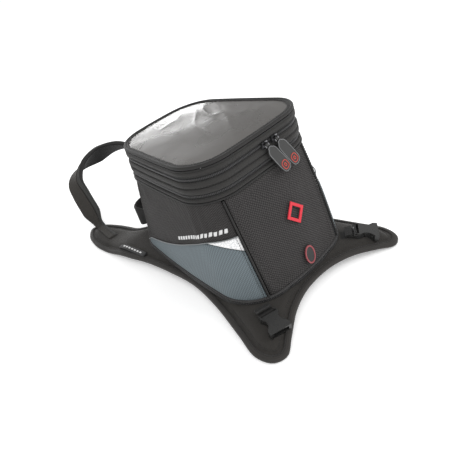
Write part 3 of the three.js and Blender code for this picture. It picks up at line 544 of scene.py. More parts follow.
def tape(name, dark, light, rib=0.0011):
    """Ribbed binding tape, webbing or zip tape: ribs across its run, along the second UV direction."""
    nodes = Nodes(name, Sheen_Weight=0.08, Sheen_Roughness=0.5, Specular_IOR_Level=0.3)
    parts = nodes.add("ShaderNodeSeparateXYZ", inputs=[nodes.uv])
    ribs, rows = (nodes.math("ABSOLUTE", nodes.math("SINE", nodes.math("MULTIPLY", part, math.pi / pitch)))
                  for part, pitch in zip(parts.outputs, (rib, rib * 2.2)))
    height = nodes.math("MULTIPLY_ADD", ribs, 0.7, nodes.math("MULTIPLY", rows, 0.3))
    worn = nodes.noise(30.0, 4.0)
    nodes.colour(nodes.math("MULTIPLY", height, nodes.math("ADD", worn, 0.3)), dark, light)
    nodes.rough(worn, 0.6, 0.85)
    nodes.bump(height, 0.6, 0.0003)
    return nodes.material


def moulded(name, dark, light, rough=(0.35, 0.5), grain=1400.0, metallic=0.0):
    """Moulded plastic, rubber or die-cast metal: a fine grain under broad patches of handling wear."""
    nodes = Nodes(name, Metallic=metallic)
    fine, broad = nodes.noise(grain, 3.0), nodes.noise(60.0, 3.0)
    nodes.colour(nodes.math("MULTIPLY_ADD", fine, 0.5, nodes.math("MULTIPLY", broad, 0.5)), dark, light)
    nodes.rough(broad, *rough)
    nodes.bump(fine, 0.4, 0.00012)
    return nodes.material


def grip_rubber():
    """The pad's underside: soft rubber with small raised cells."""
    nodes = Nodes("grip_rubber", Specular_IOR_Level=0.3)
    cells, broad = nodes.cells(170.0), nodes.noise(12.0, 4.0)
    nodes.colour(nodes.math("MULTIPLY_ADD", cells, 0.6, nodes.math("MULTIPLY", broad, 0.4)), 0.012, 0.035)
    nodes.rough(broad, 0.6, 0.8)
    nodes.bump(cells, 0.8, 0.0006)
    return nodes.material


def mesh_fabric():
    """Slate spacer mesh: an open diagonal net."""
    nodes = Nodes("slate_mesh", Specular_IOR_Level=0.3)
    height = weave_height(nodes, nodes.uv, 0.0029, math.radians(45))
    worn = nodes.noise(16.0, 4.0)
    tone = nodes.math("MULTIPLY_ADD", height, 0.7, nodes.math("MULTIPLY", worn, 0.3))
    nodes.colour(tone, (0.050, 0.066, 0.073), (0.205, 0.245, 0.266))
    nodes.rough(worn, 0.6, 0.8)
    nodes.bump(height, 0.7, 0.0005)
    return nodes.material


def reflective_film():
    """White reflective film with a faint cell pattern."""
    nodes = Nodes("reflective_film", Specular_IOR_Level=0.6, Coat_Weight=0.3)
    cells = nodes.cells(260.0, feature="DISTANCE_TO_EDGE")
    lines = nodes.add("ShaderNodeMapRange", inputs={"Value": cells, "From Max": 0.12}).outputs["Result"]
    nodes.colour(lines, (0.55, 0.56, 0.58), 0.93)
    nodes.rough(nodes.noise(40.0), 0.25, 0.4)
    nodes.bump(lines, 0.3, 0.0001)
    return nodes.material


def clear_film():
    """Clear, slightly smoked film over the map pocket."""
    nodes = Nodes("clear_film", Alpha=0.62, IOR=1.6)
    haze = nodes.noise(9.0, 3.0)
    nodes.colour(haze, (0.065, 0.060, 0.055), (0.125, 0.117, 0.108))
    nodes.rough(haze, 0.2, 0.34)
    nodes.bump(nodes.noise(26.0), 0.25, 0.0014)
    return nodes.material


BODY_CLOTH = cloth("body_cloth", 0.003, (0.072, 0.068, 0.067), thread=0.0034, relief=0.0011, sheen=0.02)
COLLAR_CLOTH = cloth("collar_cloth", (0.009, 0.0088, 0.0086), (0.052, 0.050, 0.048), thread=0.0015)
PAD_CLOTH = cloth("pad_cloth", (0.013, 0.0116, 0.0104), (0.044, 0.0405, 0.0368), thread=0.0011,
                  relief=0.0002, sheen=0.12)
LINING = cloth("lining", 0.004, 0.013, thread=0.0008, relief=0.0002)
STRAP_CLOTH = cloth("strap_cloth", (0.020, 0.018, 0.0165), (0.066, 0.061, 0.055), thread=0.0012)
FLAP_CLOTH = cloth("flap_cloth", (0.026, 0.026, 0.025), (0.078, 0.077, 0.074), thread=0.0010, relief=0.0002)
TRIM = tape("trim_tape", 0.006, (0.034, 0.033, 0.032))
BASE_TAPE = tape("base_tape", (0.022, 0.021, 0.021), (0.085, 0.082, 0.082))
EDGE_TAPE = tape("edge_tape", (0.012, 0.011, 0.0102), (0.044, 0.040, 0.0365), rib=0.0014)
WEBBING = tape("webbing", 0.006, (0.026, 0.025, 0.024), rib=0.0018)
WEBBING_LOOP = cloth("webbing_loop", 0.006, (0.026, 0.025, 0.024), thread=0.0014, by_uv=False)
THREAD = moulded("thread", 0.010, (0.035, 0.034, 0.033), rough=(0.6, 0.8), grain=3000.0)
PALE_THREAD = moulded("pale_thread", (0.13, 0.14, 0.145), (0.26, 0.27, 0.275), rough=(0.6, 0.8), grain=3000.0)
PRINT = moulded("white_print", 0.55, 0.85, rough=(0.4, 0.5), grain=2500.0)
PLASTIC = moulded("black_plastic", 0.009, (0.026, 0.026, 0.025), rough=(0.2, 0.34))
COIL = moulded("coil_zip", (0.024, 0.024, 0.025), (0.090, 0.090, 0.092), rough=(0.25, 0.4))
RUBBER = moulded("black_rubber", 0.010, 0.028, rough=(0.5, 0.65))
PULL_RUBBER = moulded("pull_rubber", 0.014, (0.034, 0.034, 0.033), rough=(0.45, 0.6))
# Pale grey for the tube round each zip puller's face: a painted edge highlight.
PAINTED_EDGE_HIGHLIGHT = moulded("painted_edge_highlight", (0.10, 0.104, 0.107), (0.21, 0.214, 0.218))
RED = moulded("red_rubber", (0.52, 0.007, 0.020), (0.72, 0.022, 0.044), rough=(0.4, 0.55))
RED_DULL = moulded("dull_red", (0.20, 0.018, 0.026), (0.36, 0.09, 0.10), rough=(0.4, 0.55))
RED_INLAY = moulded("inlay_red", (0.34, 0.030, 0.022), (0.55, 0.075, 0.05), rough=(0.4, 0.55))
METAL = moulded("dark_metal", (0.06, 0.06, 0.065), (0.30, 0.30, 0.31), rough=(0.18, 0.35), metallic=1.0)
GRIP = grip_rubber()
SLATE = mesh_fabric()
REFLECTIVE = reflective_film()
CLEAR = clear_film()
BACKING = cloth("map_backing", (0.060, 0.055, 0.050), (0.135, 0.127, 0.117), thread=0.0012, sheen=0.05)


# ------------------------------------------------------------------ camera, light and floor
CAMERA_TURN = [math.radians(angle) for angle in (-33.84, 33.81, -17.38)]  # azimuth, elevation, roll
CAMERA_TARGET = Vector((-0.00327, -0.01917, 0.0315))
CAMERA_DISTANCE, LENS, SENSOR = 0.88447, 38.47, 36
FLOOR_REACH = 60
SKY_STRENGTH = 0.8
LAMP_AIM = Vector((0, 0, 0.1))
LAMPS = [  # name, place, width, height, power in watts; the map window mirrors the low strip behind the bag
    ("key", (-0.6, -1.0, 1.6), 1.0, 1.0, 8),
    ("rear_fill", (0.9, -1.2, 0.9), 0.9, 0.9, 7),
    ("back_strip", (0.45, 1.6, 0.36), 1.3, 0.36, 12),
]


def make_camera():
    azimuth, elevation, roll = CAMERA_TURN
    level = math.cos(elevation)
    back = Vector((math.sin(azimuth) * level, -math.cos(azimuth) * level, math.sin(elevation)))
    right = Vector((math.cos(azimuth), math.sin(azimuth), 0))
    up = back.cross(right)
    right, up = (math.cos(roll) * right + math.sin(roll) * up, -math.sin(roll) * right + math.cos(roll) * up)
    data = bpy.data.cameras.new("camera")
    data.lens, data.sensor_width = LENS, SENSOR
    camera = bpy.data.objects.new("camera", data)
    place = CAMERA_TARGET + back * CAMERA_DISTANCE
    camera.matrix_world = Matrix([(right[k], up[k], back[k], place[k]) for k in range(3)] + [(0, 0, 0, 1)])
    bpy.context.collection.objects.link(camera)
    bpy.context.scene.camera = camera


def make_floor():
    floor = bpy.data.meshes.new("floor")
    corners = [(x * FLOOR_REACH, y * FLOOR_REACH, GROUND) for x, y in ((-1, -1), (1, -1), (1, 1), (-1, 1))]
    floor.from_pydata(corners, [], [(0, 1, 2, 3)])
    floor_object = bpy.data.objects.new("floor", floor)
    bpy.context.collection.objects.link(floor_object)
    pale = Nodes("floor_paint", Roughness=0.9, Specular_IOR_Level=0.1, Emission_Color=(1, 1, 1, 1),
                 Emission_Strength=0.3)
    pale.colour(pale.noise(3.0), 0.90, 0.93)
    floor.materials.append(pale.material)


def make_light():
    world = bpy.data.worlds.new("studio")
    world.use_nodes = True
    sky = world.node_tree.nodes["Background"].inputs
    sky["Color"].default_value = (1.0, 1.0, 1.0, 1)
    sky["Strength"].default_value = SKY_STRENGTH
    bpy.context.scene.world = world
    for name, place, width, height, power in LAMPS:
        lamp = bpy.data.lights.new(name, "AREA")
        set_all(lamp, shape="RECTANGLE", energy=power, size=width, size_y=height)
        obj = bpy.data.objects.new(name, lamp)
        obj.location = place
        obj.rotation_euler = (LAMP_AIM - Vector(place)).to_track_quat("-Z", "Y").to_euler()
        bpy.context.collection.objects.link(obj)
    bpy.context.scene.view_settings.view_transform = "Standard"


# ------------------------------------------------------------------ pad
def pad_outline(inset, count=260):
    """The pad's outline, moved in by a distance, and the directions in from it."""
    curve = spline(PAD_HALF_OUTLINE[:1] + mirrored(PAD_HALF_OUTLINE[1:], []), True, count)
    inward = left_of(curve)
    return curve + inward * inset, inward


def inside(x, y, outline):
    """Whether a line from the point crosses the outline an odd number of times."""
    crossings = 0
    for (ax, ay), (bx, by) in zip(outline, np.roll(outline, -1, 0)):
        if (ay > y) != (by > y) and x < ax + (y - ay) * (bx - ax) / (by - ay):
            crossings += 1
    return crossings % 2 == 1


def edge_distance(x, y, outline):
    """Distance from a point to the nearest point of an outline."""
    return float(np.min(np.hypot(outline[:, 0] - x, outline[:, 1] - y)))


def pad_sheet(name, inset, top, bottom, cell=7.0):
    """A closed sheet over the pad's outline with a height rule for each face."""
    outline, _ = pad_outline(inset)
    n = len(outline)
    xs, ys = np.arange(-170, 171, cell), np.arange(-270, 341, cell)
    inner = []
    for j, y in enumerate(ys):
        for x in xs + (cell / 2 if j % 2 else 0):
            if inside(x, y, outline) and edge_distance(x, y, outline) > cell * 0.55:
                inner.append((x, y))
    points = [Vector(p) for p in outline] + [Vector(p) for p in inner]
    verts, _, faces, *_ = delaunay_2d_cdt(points, [(i, (i + 1) % n) for i in range(n)], [], 1, 1e-4)
    flat = np.array([tuple(v) for v in verts])
    away = [edge_distance(x, y, outline) for x, y in flat]
    upper, lower = ([(x, y, height(x, y, d)) for (x, y), d in zip(flat, away)] for height in (top, bottom))
    return double_sheet(name, upper, lower, [tuple(face) for face in faces], flat * MM)


def make_pad():
    def top(x, y, d):
        """Height of the cover, d from its edge: rolled over at the edge, sunk in at the seam."""
        roll = mix(-1.9, 2.3, ease((d - 7.5) / 12))
        seam = -PAD_SEAM_DEPTH * math.exp(-((d - PAD_SEAM_INSET) / PAD_SEAM_WIDTH) ** 2)
        uneven = 0.5 * wobble(x, y, size=70, seed=2) + 0.25 * wobble(x, y, size=24, seed=6)
        return dome(x, y) + roll + seam + uneven

    cover = pad_sheet("pad_cover", COVER_INSET, top, lambda x, y, d: dome(x, y) - COVER_BOTTOM, cell=5.0)
    finish_piece(cover, "pad", PAD_CLOTH, ["pad_top_cover", "pad_foam_core"])
    under = pad_sheet("pad_underside", UNDERSIDE_INSET, lambda x, y, d: dome(x, y) - UNDERSIDE_TOP,
                      lambda x, y, d: dome(x, y) - mix(UNDERSIDE_EDGE, UNDERSIDE_BOTTOM, ease((d - 6) / 3)))
    finish_piece(under, "pad", GRIP, ["pad_grip_underside"])

    sections = []
    for point, inward in zip(*pad_outline(0.0, 320)):
        edge = [(*(point + inward * inset), over) for inset, over in PAD_BORDER]
        sections.append([(x, y, dome(x, y) + over) for x, y, over in edge])
    binding = sweep("pad_binding", sections, True)
    finish_piece(binding, "pad", EDGE_TAPE, ["pad_edge_binding"])
    for index, (inset, over) in enumerate(PAD_STITCHES):
        path = [(x, y, dome(x, y) + over) for x, y in pad_outline(inset, 320)[0]]
        stitches(f"pad_stitches_{index}", path + path[:1], [UPRIGHT] * (len(path) + 1), "pad")


# ------------------------------------------------------------------ bag body
# Stations and heights on the walls of the line between side cloth and mesh insert.
ACCENT_POINTS = [(CORNER_SEAM, 0.665), (ACCENT_CORNER, 0.62), (1.36, 0.44), (1.85, 0.23), (2.3, 0.02)]
ACCENT = spline(ACCENT_POINTS, False, 80)
PRINT_FROM, PRINT_TO, ACCENT_TO = CORNER_SEAM + 0.12, 1.36, 2.24
PANEL_GAP, TUCK = 0.6, 0.9
SWELL_FRAMES, SWELL_LIMIT = 14, 4.0
PIPING_PROUD = 0.9


def accent_top(s):
    """Height on the walls of the accent piping and of the reflector's upper edge."""
    return max(0.0, float(np.interp(s, ACCENT[:, 0], ACCENT[:, 1], right=0.0)))


def accent_low(s):
    """Height on the walls of the mesh insert's upper edge, which is the reflector's lower one."""
    if s >= ACCENT_CORNER:
        return accent_top(s)
    share = (s - CORNER_SEAM) / (ACCENT_CORNER - CORNER_SEAM)
    return mix(0.5, accent_top(ACCENT_CORNER), math.sin(share * math.pi / 2))


def puff_up(rows, edges, rise, wrinkle, seed):
    """Moves a panel's points out between its seams and in along them; edges has their distances to a seam."""
    for row, distances in zip(rows, edges):
        for (point, normal), d in zip(row, distances):
            x, y, z = point
            fold = wobble(x, y, z * 0.8, size=58, seed=seed) + 0.25 * wobble(x, y, z, size=19, seed=seed + 5)
            out = rise * (1 - math.exp(-d / 14)) - TUCK * math.exp(-d / 2.5)
            point += normal * (out + wrinkle * fold * (1 - math.exp(-d / 18)))
    return np.array([[point for point, _ in row] for row in rows])


def inflate(name, outer, pressure):
    """Lets the cloth of a panel swell between its sewn edges, and returns the moved grid."""
    n, m = outer.shape[:2]
    obj = new_object(name + "_sim", outer.reshape(-1, 3), quads(n, m), closed=False)
    sewn = [i * m + k for i in range(n) for k in range(m) if i in (0, n - 1) or k in (0, m - 1)]
    obj.vertex_groups.new(name="pins").add(sewn, 1.0, "REPLACE")
    modifier = obj.modifiers.new("cloth", "CLOTH")
    set_all(modifier.settings, vertex_group_mass="pins", quality=5, mass=0.3, tension_stiffness=25,
            compression_stiffness=25, shear_stiffness=12, bending_stiffness=4, use_pressure=True,
            uniform_pressure_force=pressure)
    modifier.settings.effector_weights.gravity = 0.3
    modifier.collision_settings.use_collision = False
    set_all(modifier.point_cache, frame_start=1, frame_end=SWELL_FRAMES)
    scene = bpy.context.scene
    for step in range(1, SWELL_FRAMES + 1):
        scene.frame_set(step)
    evaluated = obj.evaluated_get(bpy.context.evaluated_depsgraph_get())
    moved = np.array([v.co for v in evaluated.data.vertices], float)
    moved[:, 2] -= GROUND
    moved = (moved / MM).reshape(n, m, 3)
    scene.frame_set(1)
    bpy.data.objects.remove(obj)
    shift = moved - outer
    size = np.linalg.norm(shift, axis=2, keepdims=True)
    return outer + shift * np.minimum(1.0, SWELL_LIMIT / np.maximum(size, 1e-6))


def panel(name, start, stop, low=lambda s: 0.0, high=lambda s: 1.0, rows=44, rise=1.2, wrinkle=0.4,
          pressure=3.0, flip=False, seed=1.0):
    """A sewn wall panel between two stations, from height low(s) to high(s) of the walls."""
    list_s = stations(start, stop, 26, 30)
    runs = run_length([wall_point(s, 0.5) for s in list_s])
    grid, inner, edges = [], [], []
    for s, run in zip(list_s, runs):
        bottom, top = low(s), high(s)
        height = rim_height(s) - SHOULDER_DEPTH - BODY_FLOOR
        gap = PANEL_GAP / height
        ups = [min(max(mix(bottom, top, k / rows), gap), 1 - gap) for k in range(rows + 1)]
        grid.append([(wall_point(s, up), outward(s)) for up in ups])
        inner.append([wall_point(s, up, -WALL) for up in ups])
        edges.append([min(run, runs[-1] - run, (up - bottom) * height, (top - up) * height) for up in ups])
    outer = puff_up(grid, edges, rise, wrinkle, seed)
    if pressure:
        outer = inflate(name, outer, pressure)
    return shell(name, mirror(outer, flip), mirror(inner, flip))


def lay_on(ground, grid, normals, lift):
    """Moves rows of points onto a mesh, in from outside along each row's normal, and off it by `lift`."""
    reach = 0.02
    mesh = ground.data
    tree = BVHTree.FromPolygons([v.co for v in mesh.vertices], [p.vertices for p in mesh.polygons])
    laid = []
    for row, normal in zip(grid, normals):
        n = Vector(normal)
        laid.append([])
        for point in row:
            start = Vector(to_row(point)) + n * reach
            hit = tree.ray_cast(start, -n, 2 * reach)[0]
            found = np.array(hit if hit else start - n * reach, float)
            found[2] -= GROUND
            laid[-1].append(found / MM + normal * lift)
    return laid


def print_marks(side, ground, flip):
    """An even row of slanted printed bars over the accent line."""
    bars, gap, height, lean, over = 15, 0.34, 6.5, 1.6, 0.05
    fine = np.linspace(PRINT_FROM, PRINT_TO, 300)
    run = run_length([wall_point(s, accent_top(s) + over) for s in fine])
    pitch = run[-1] / bars
    for k in range(bars):
        grid, normals = [], []
        for along in np.linspace(k, k + 1 - gap, 5):
            row = []
            for t in np.linspace(0, 1, 4):
                s = float(np.interp(along * pitch + lean * (0.5 - t), run, fine))
                row.append(wall_point(s, accent_top(s) + over, 2.0) + np.array([0, 0, height * t]))
            grid.append(mirror(row, flip))
            normals.append(mirror(outward(s), flip))
        outer, inner = (lay_on(ground, grid, normals, lift) for lift in (0.35, -0.3))
        finish_piece(shell(f"{side}_print_{k}", outer, inner), "bag", PRINT)


def wall_cord(name, path, radius, up_a_seam, flip):
    """A cord on the walls through stations and heights, up a corner seam or along a panel's edge."""
    sections = []
    for s, up in path:
        n = outward(s)
        across = np.array([-n[1], n[0], 0] if up_a_seam else UPRIGHT, float)
        point = wall_point(s, up, PIPING_PROUD)
        sections.append([point + radius * (n * c + across * t) for c, t in circle()])
    return sweep(name, mirror(sections, flip), False)


def make_side(side, flip, seed):
    """One side wall: its cloth, mesh insert, reflector, print, piping and seam stitches."""
    start = CORNER_SEAM + SEAM_GAP
    upper = panel(f"{side}_side_cloth", start, FRONT_SEAM - FRONT_GAP, low=accent_top, flip=flip, seed=seed)
    finish_piece(upper, "bag", BODY_CLOTH, [f"{side}_side_panel"])
    print_marks(side, upper, flip)
    lower = panel(f"{side}_mesh_cloth", start, ACCENT_TO + 0.02, rise=0.8, flip=flip, seed=seed + 2,
                  high=lambda s: max(0.02, accent_low(s) - 0.006))
    finish_piece(lower, "bag", SLATE, [f"{side}_mesh_insert"])
    patch = panel(f"{side}_reflector", start, ACCENT_CORNER - 0.015, low=lambda s: accent_low(s) + 0.004,
                  high=lambda s: accent_top(s) - 0.004, rows=10, rise=0.3, wrinkle=0.2, pressure=0, flip=flip,
                  seed=seed)
    finish_piece(patch, "bag", REFLECTIVE, [f"{side}_reflective_triangle"])
    accent = [(s, accent_top(s)) for s in np.linspace(CORNER_SEAM + 0.03, ACCENT_TO, 90)]
    cord = wall_cord(f"{side}_accent_piping_cord", accent, 0.85, False, flip)
    finish_piece(cord, "bag", PALE_THREAD)
    corner = [(CORNER_SEAM, up) for up in np.linspace(0.006, 0.99, 70)]
    cord = wall_cord(f"{side}_corner_piping_cord", corner, 1.7, True, flip)
    finish_piece(cord, "bag", TRIM, [f"{side}_corner_piping"])
    for index, offset in enumerate((-0.055, 0.055)):
        path = [wall_point(CORNER_SEAM + offset, up, PIPING_PROUD) for up in np.linspace(0.01, 0.99, 60)]
        normals = [outward(CORNER_SEAM)] * len(path)
        stitches(f"{side}_corner_stitches_{index}", mirror(path, flip), mirror(normals, flip), "bag")


def make_body():
    rear = panel("rear_panel_cloth", 7 - CORNER_SEAM + SEAM_GAP, 8 + CORNER_SEAM - SEAM_GAP, rise=1.6)
    finish_piece(rear, "bag", BODY_CLOTH, ["rear_panel"])
    front = panel("front_panel_cloth", FRONT_SEAM + FRONT_GAP, 7 - FRONT_SEAM - FRONT_GAP, seed=4)
    finish_piece(front, "bag", BODY_CLOTH, ["front_panel"])
    make_side("left", False, 7)
    make_side("right", True, 11)
    keep_node("floor_panel", LINING, 0.0008)
    keep_node("floor_stiffener", PLASTIC, 0.0008)


# ------------------------------------------------------------------ collars, zips and lid edge
def band_loop(upper, lower, puff, thickness, proud):
    """Cross-section of a band as (depth, proud) pairs: a soft roll outside, flat inside."""
    roll = [(mix(upper, lower, t), proud + puff * math.sin(math.pi * t) ** 0.6 - 0.35)
            for t in (k / 12 for k in range(13))]
    return roll + [(mix(lower, upper, k / 4), proud - thickness) for k in range(5)]


def cord_loop(depth, proud, radius):
    """Cross-section of a round cord as (depth, proud) pairs."""
    return [(depth + radius * b, proud + radius * a) for a, b in circle(12)]


def ring(name, loop, start=None, stop=None, uneven=0.0, seed=0.0):
    """A band all round the bag, or over a stretch of it, from a cross-section of (depth, proud) pairs."""
    closed = start is None
    sections = []
    for s in ROUND if closed else stations(start, stop):
        x, y, _ = skin(s, 0)
        shift = uneven * wobble(x, y, size=55, seed=seed)
        sections.append([skin(s, depth + 0.4 * shift, proud + shift) for depth, proud in loop])
    return sweep(name, sections, closed)


def teeth(name, depth, proud, body, start=0, stop=8):
    """A coil zip's teeth: one small rounded bar for each turn of the coil."""
    list_s = stations(start, stop)
    path = np.array([skin(s, depth, proud) for s in list_s])
    out = np.array([outward(s, RIM_KEY) for s in list_s])
    run = run_length(path)
    count = int(run[-1] / TOOTH_PITCH)
    cross = rounded(TOOTH_WIDTH, TOOTH_THICKNESS, 0.45, 1)
    bars = []
    for i in range(count):
        at = run[-1] * (i + 0.5) / count
        p, n = at_run(run, path, at), unit(at_run(run, out, at))
        along = np.cross(UPRIGHT, n)
        bars.append([[p + np.array([0, 0, up * TOOTH_HEIGHT]) + thin * (a * along + b * n) for a, b in cross]
                     for up, thin in ((-0.5, 0.6), (-0.36, 1.0), (0.36, 1.0), (0.5, 0.6))])
    finish_piece(small_bars(name, bars), body, COIL)


RING_KINDS = {  # slot, material and cross-section
    "cloth": ("body_fabric", COLLAR_CLOTH, lambda top, low, puff: band_loop(top, low, puff, WALL, 0.0)),
    "cord": ("black_trim", TRIM, cord_loop),
    "tape": ("black_trim", TRIM, lambda top, low: band_loop(top, low, 0.2, ZIP_THICKNESS, -1.6)),
    "track": ("black_plastic", TRIM, lambda top, low, proud: band_loop(top, low, 0.1, ZIP_THICKNESS, proud)),
}
RINGS = [  # name, body, kind, the cross-section's measures, replaced node, unevenness
    ("lid_band_cloth", "lid", "cloth", (5.4, 13.6, 1.7), "lid_band", 0.3),
    ("lid_edge_binding", "lid", "cord", (-0.2, -1.2, 2.7), "lid_binding", 0.12),
    ("lid_welt", "lid", "cord", (4.2, 0.2, 1.2), None, 0.15),
    ("main_zip_lid_tape", "lid", "tape", (14, 16.4), "main_zip_upper_tape", 0.0),
    ("main_zip_track", "collar", "track", (16.8, 19.6, -1.9), "main_zip_coil", 0.0),
    ("main_zip_collar_tape", "collar", "tape", (20, 21.6), "main_zip_lower_tape", 0.0),
    ("upper_collar_cloth", "collar", "cloth", (22, COLLAR_FOLD - 0.2, 1.9), "upper_collar", 0.35),
    ("middle_collar_cloth", "collar", "cloth", (COLLAR_FOLD + 0.2, 41.4, 1.9), None, 0.35),
    ("expansion_tape_above", "collar", "tape", (41.6, 42.9), "expansion_zip_upper_tape", 0.0),
    ("expansion_track", "bag", "track", (43.3, 46, -2.0), "expansion_zip_coil", 0.0),
    ("expansion_tape_below", "bag", "tape", (46.4, 48.2), "expansion_zip_lower_tape", 0.0),
    ("lower_collar_cloth", "bag", "cloth", (48.5, 54.2, 1.7), "lower_collar", 0.3),
    ("shoulder_cord", "bag", "cord", (56, 0.7, 1.5), "shoulder_piping", 0.2),
]
RING_STITCHES = [  # piece, body, depth under the lid's edge
    ("lid_band_stitches", "lid", 12.4), ("upper_collar_stitches", "collar", COLLAR_FOLD - 1.3),
    ("middle_collar_stitches", "collar", COLLAR_FOLD + 1.3), ("lower_collar_stitches", "bag", 49.6),
]


def make_rings():
    for index, (name, body, kind, measures, node, uneven) in enumerate(RINGS):
        slot, material, section = RING_KINDS[kind]
        span = (ZIP_FROM, ZIP_TO) if name.startswith("main_zip") else ()
        obj = ring(name, section(*measures), *span, uneven=uneven, seed=index * 3.3)
        finish_piece(obj, body, material, [node] if node else [])
    teeth("main_zip_teeth", 18.2, -1.3, "collar", ZIP_FROM, ZIP_TO)
    teeth("expansion_zip_teeth", 44.6, -1.4, "bag")
    strip = ring("lid_hinge_cloth", band_loop(HINGE_TOP, HINGE_BOTTOM, 0.5, 1.6, 0.0), HINGE_FROM, HINGE_TO)
    finish_piece(strip, None, COLLAR_CLOTH, ["lid_hinge_strip"])
    low, high = skin(HINGE_MIDDLE, HINGE_START), skin(HINGE_MIDDLE, HINGE_END)
    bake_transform(strip)
    keep_node("expansion_gusset", LINING)
    for name, body, depth in RING_STITCHES:
        path = [skin(s, depth, PIPING_PROUD) for s in ROUND_AND_BACK]
        stitches(name, path, [outward(s, RIM_KEY) for s in ROUND_AND_BACK], body)


def base_ring(name, top, bottom, proud, thickness, body, material, node):
    """A flat band round the base zip, from the height bottom(x, y) up to `top`."""
    sections = []
    for s in ROUND:
        n = outward(s, BASE_KEY)
        x, y, _ = wall_point(s, 0, proud)
        low = bottom(x, y)
        loop = []
        for a, b in rounded(thickness, 1.0, 0.0, 1):
            inward = thickness / 2 - a
            loop.append((x - n[0] * inward, y - n[1] * inward, mix(low, top, b + 0.5)))
        sections.append(loop)
    obj = sweep(name, sections, True)
    set_all(obj.modifiers.new("soft_edges", "BEVEL"), width=0.0005, segments=2)
    finish_piece(obj, body, material, [node])


def make_base_zip():
    teeth_height, sewn_height = 29.85, 33.0
    base_ring("base_tape_on_pad", 28.4, lambda x, y: dome(x, y) - 0.4, 0.7, 2.6, "pad", TRIM,
              "base_zip_pad_tape")
    base_ring("base_zip_track", 30.9, lambda x, y: 28.8, 0.2, 2.4, "bag", TRIM, "base_zip_coil")
    base_ring("base_tape_on_bag", 34.6, lambda x, y: 31.3, 0.8, 2.6, "bag", BASE_TAPE, "base_zip_bag_tape")
    path = np.array([wall_point(s, 0, 1.0) for s in stations(0, 8)])
    out = np.array([outward(s) for s in stations(0, 8)])
    path[:, 2] = teeth_height
    stitches("base_zip_teeth", path, out, "bag", pitch=2.6, length=1.3, radius=0.8, material=COIL)
    path[:, 2] = sewn_height
    stitches("base_tape_stitches", path + out * 0.1, out, "bag", radius=0.5, material=COIL)


# ------------------------------------------------------------------ lid
FILM_INSET, FILM_THICKNESS, BACKING_INSET = 7.6, 0.7, 4.5


def lid_grid(inset, shares, height):
    """Rings of points from the lid's middle out to `inset` inside its edge, with a height rule."""
    outline = np.array([skin(s, 0, -inset) for s in ROUND])
    centre = outline.mean(0)
    return np.array([[(x, y, height(x, y, share)) for x, y, _ in centre + (outline - centre) * share]
                     for share in shares])


def film_height(x, y, r):
    """Height of the map film: crowned, sagging and creased in its middle."""
    along, across = 0.64 * x + 0.77 * y, 0.77 * x - 0.64 * y
    crease = 1 - abs(wobble(along * 0.3, across, size=34, seed=4))
    sag = 1.2 * wobble(x, y, size=80, seed=9) + 1.4 * crease ** 5 * ease((x + 70) / 110)
    return lid_plane(y) + 1.1 + 4.0 * (1 - r * r) + (sag - 0.4) * (1 - r ** 4)


def make_lid():
    sections = []
    for s in ROUND:
        outer, inner = skin(s, 0, -3.2), skin(s, 0, -8.6)
        loop = [mix(outer, inner, t) + np.array([0, 0, 1.3 + 0.9 * math.sin(math.pi * t)])
                for t in np.linspace(0, 1, 7)]
        sections.append(loop + [mix(outer, inner, t) - np.array([0, 0, 0.9]) for t in np.linspace(1, 0, 7)])
    finish_piece(sweep("lid_border", sections, True), "lid", TRIM, ["lid_frame"])
    path = [skin(s, 0, -6.9) + np.array([0, 0, 2.1]) for s in ROUND_AND_BACK]
    stitches("lid_border_stitches", path, [UPRIGHT] * len(path), "lid", radius=0.38)

    shares = [0.02] + [k / 40 for k in range(1, 41)]
    top = lid_grid(FILM_INSET, shares, film_height)
    under = lid_grid(FILM_INSET, shares, lambda x, y, r: film_height(x, y, r) - FILM_THICKNESS)
    finish_piece(disc("map_film", top, under), "lid", CLEAR, ["map_window"])
    shares = shares[::2] + [1.0]
    top, under = (lid_grid(BACKING_INSET, shares, lambda x, y, r: lid_plane(y) - drop + 4 * (1 - r * r))
                  for drop in (3, 4.4))
    finish_piece(disc("map_backing", top, under), "lid", BACKING, ["map_pocket_backing"])


# ------------------------------------------------------------------ headstock strap
@lru_cache(maxsize=None)
def strap_frames():
    """Points, directions across and through, widths and distances from the nearer end along the strap.

    It runs from the left wing over the loop to the right wing."""
    root_y, root_z = STRAP_ROOT

    def half(side):
        sewn = [(side * x, y, dome(x, y) + 1.9) for x, y in STRAP_SEWN_PATH]
        return sewn + [(side * x, root_y + u * math.cos(STRAP_LEAN), root_z + u * math.sin(STRAP_LEAN))
                       for x, u in STRAP_HALF_PATH]

    path = spline(half(-1) + half(1)[::-1][1:], False, 90)
    tangents = unit(np.gradient(path, axis=0))
    run = run_length(path)
    turns = np.array([way for _, way in STRAP_TWIST], float)
    frames = []
    for p, tangent, r in zip(path, tangents, run):
        to_top = 1 - abs(2 * (r - STRAP_SEWN) / (run[-1] - 2 * STRAP_SEWN) - 1)
        to_top = min(1.0, max(0.0, to_top))
        hint = at_run([at for at, _ in STRAP_TWIST], turns, to_top)
        if r > run[-1] / 2:
            hint[0] *= -1
        across = unit(hint - (hint @ tangent) * tangent)
        width = mix(STRAP_ROOT_WIDTH, STRAP_WIDTH, ease(to_top * 6))
        frames.append((p, across, np.cross(tangent, across), width, min(r, run[-1] - r)))
    return frames


def strap_body(from_end):
    """How much of its full thickness the strap has: thin where it is sewn to the wing."""
    return mix(0.38, 1.0, ease((from_end - 64) / 45))


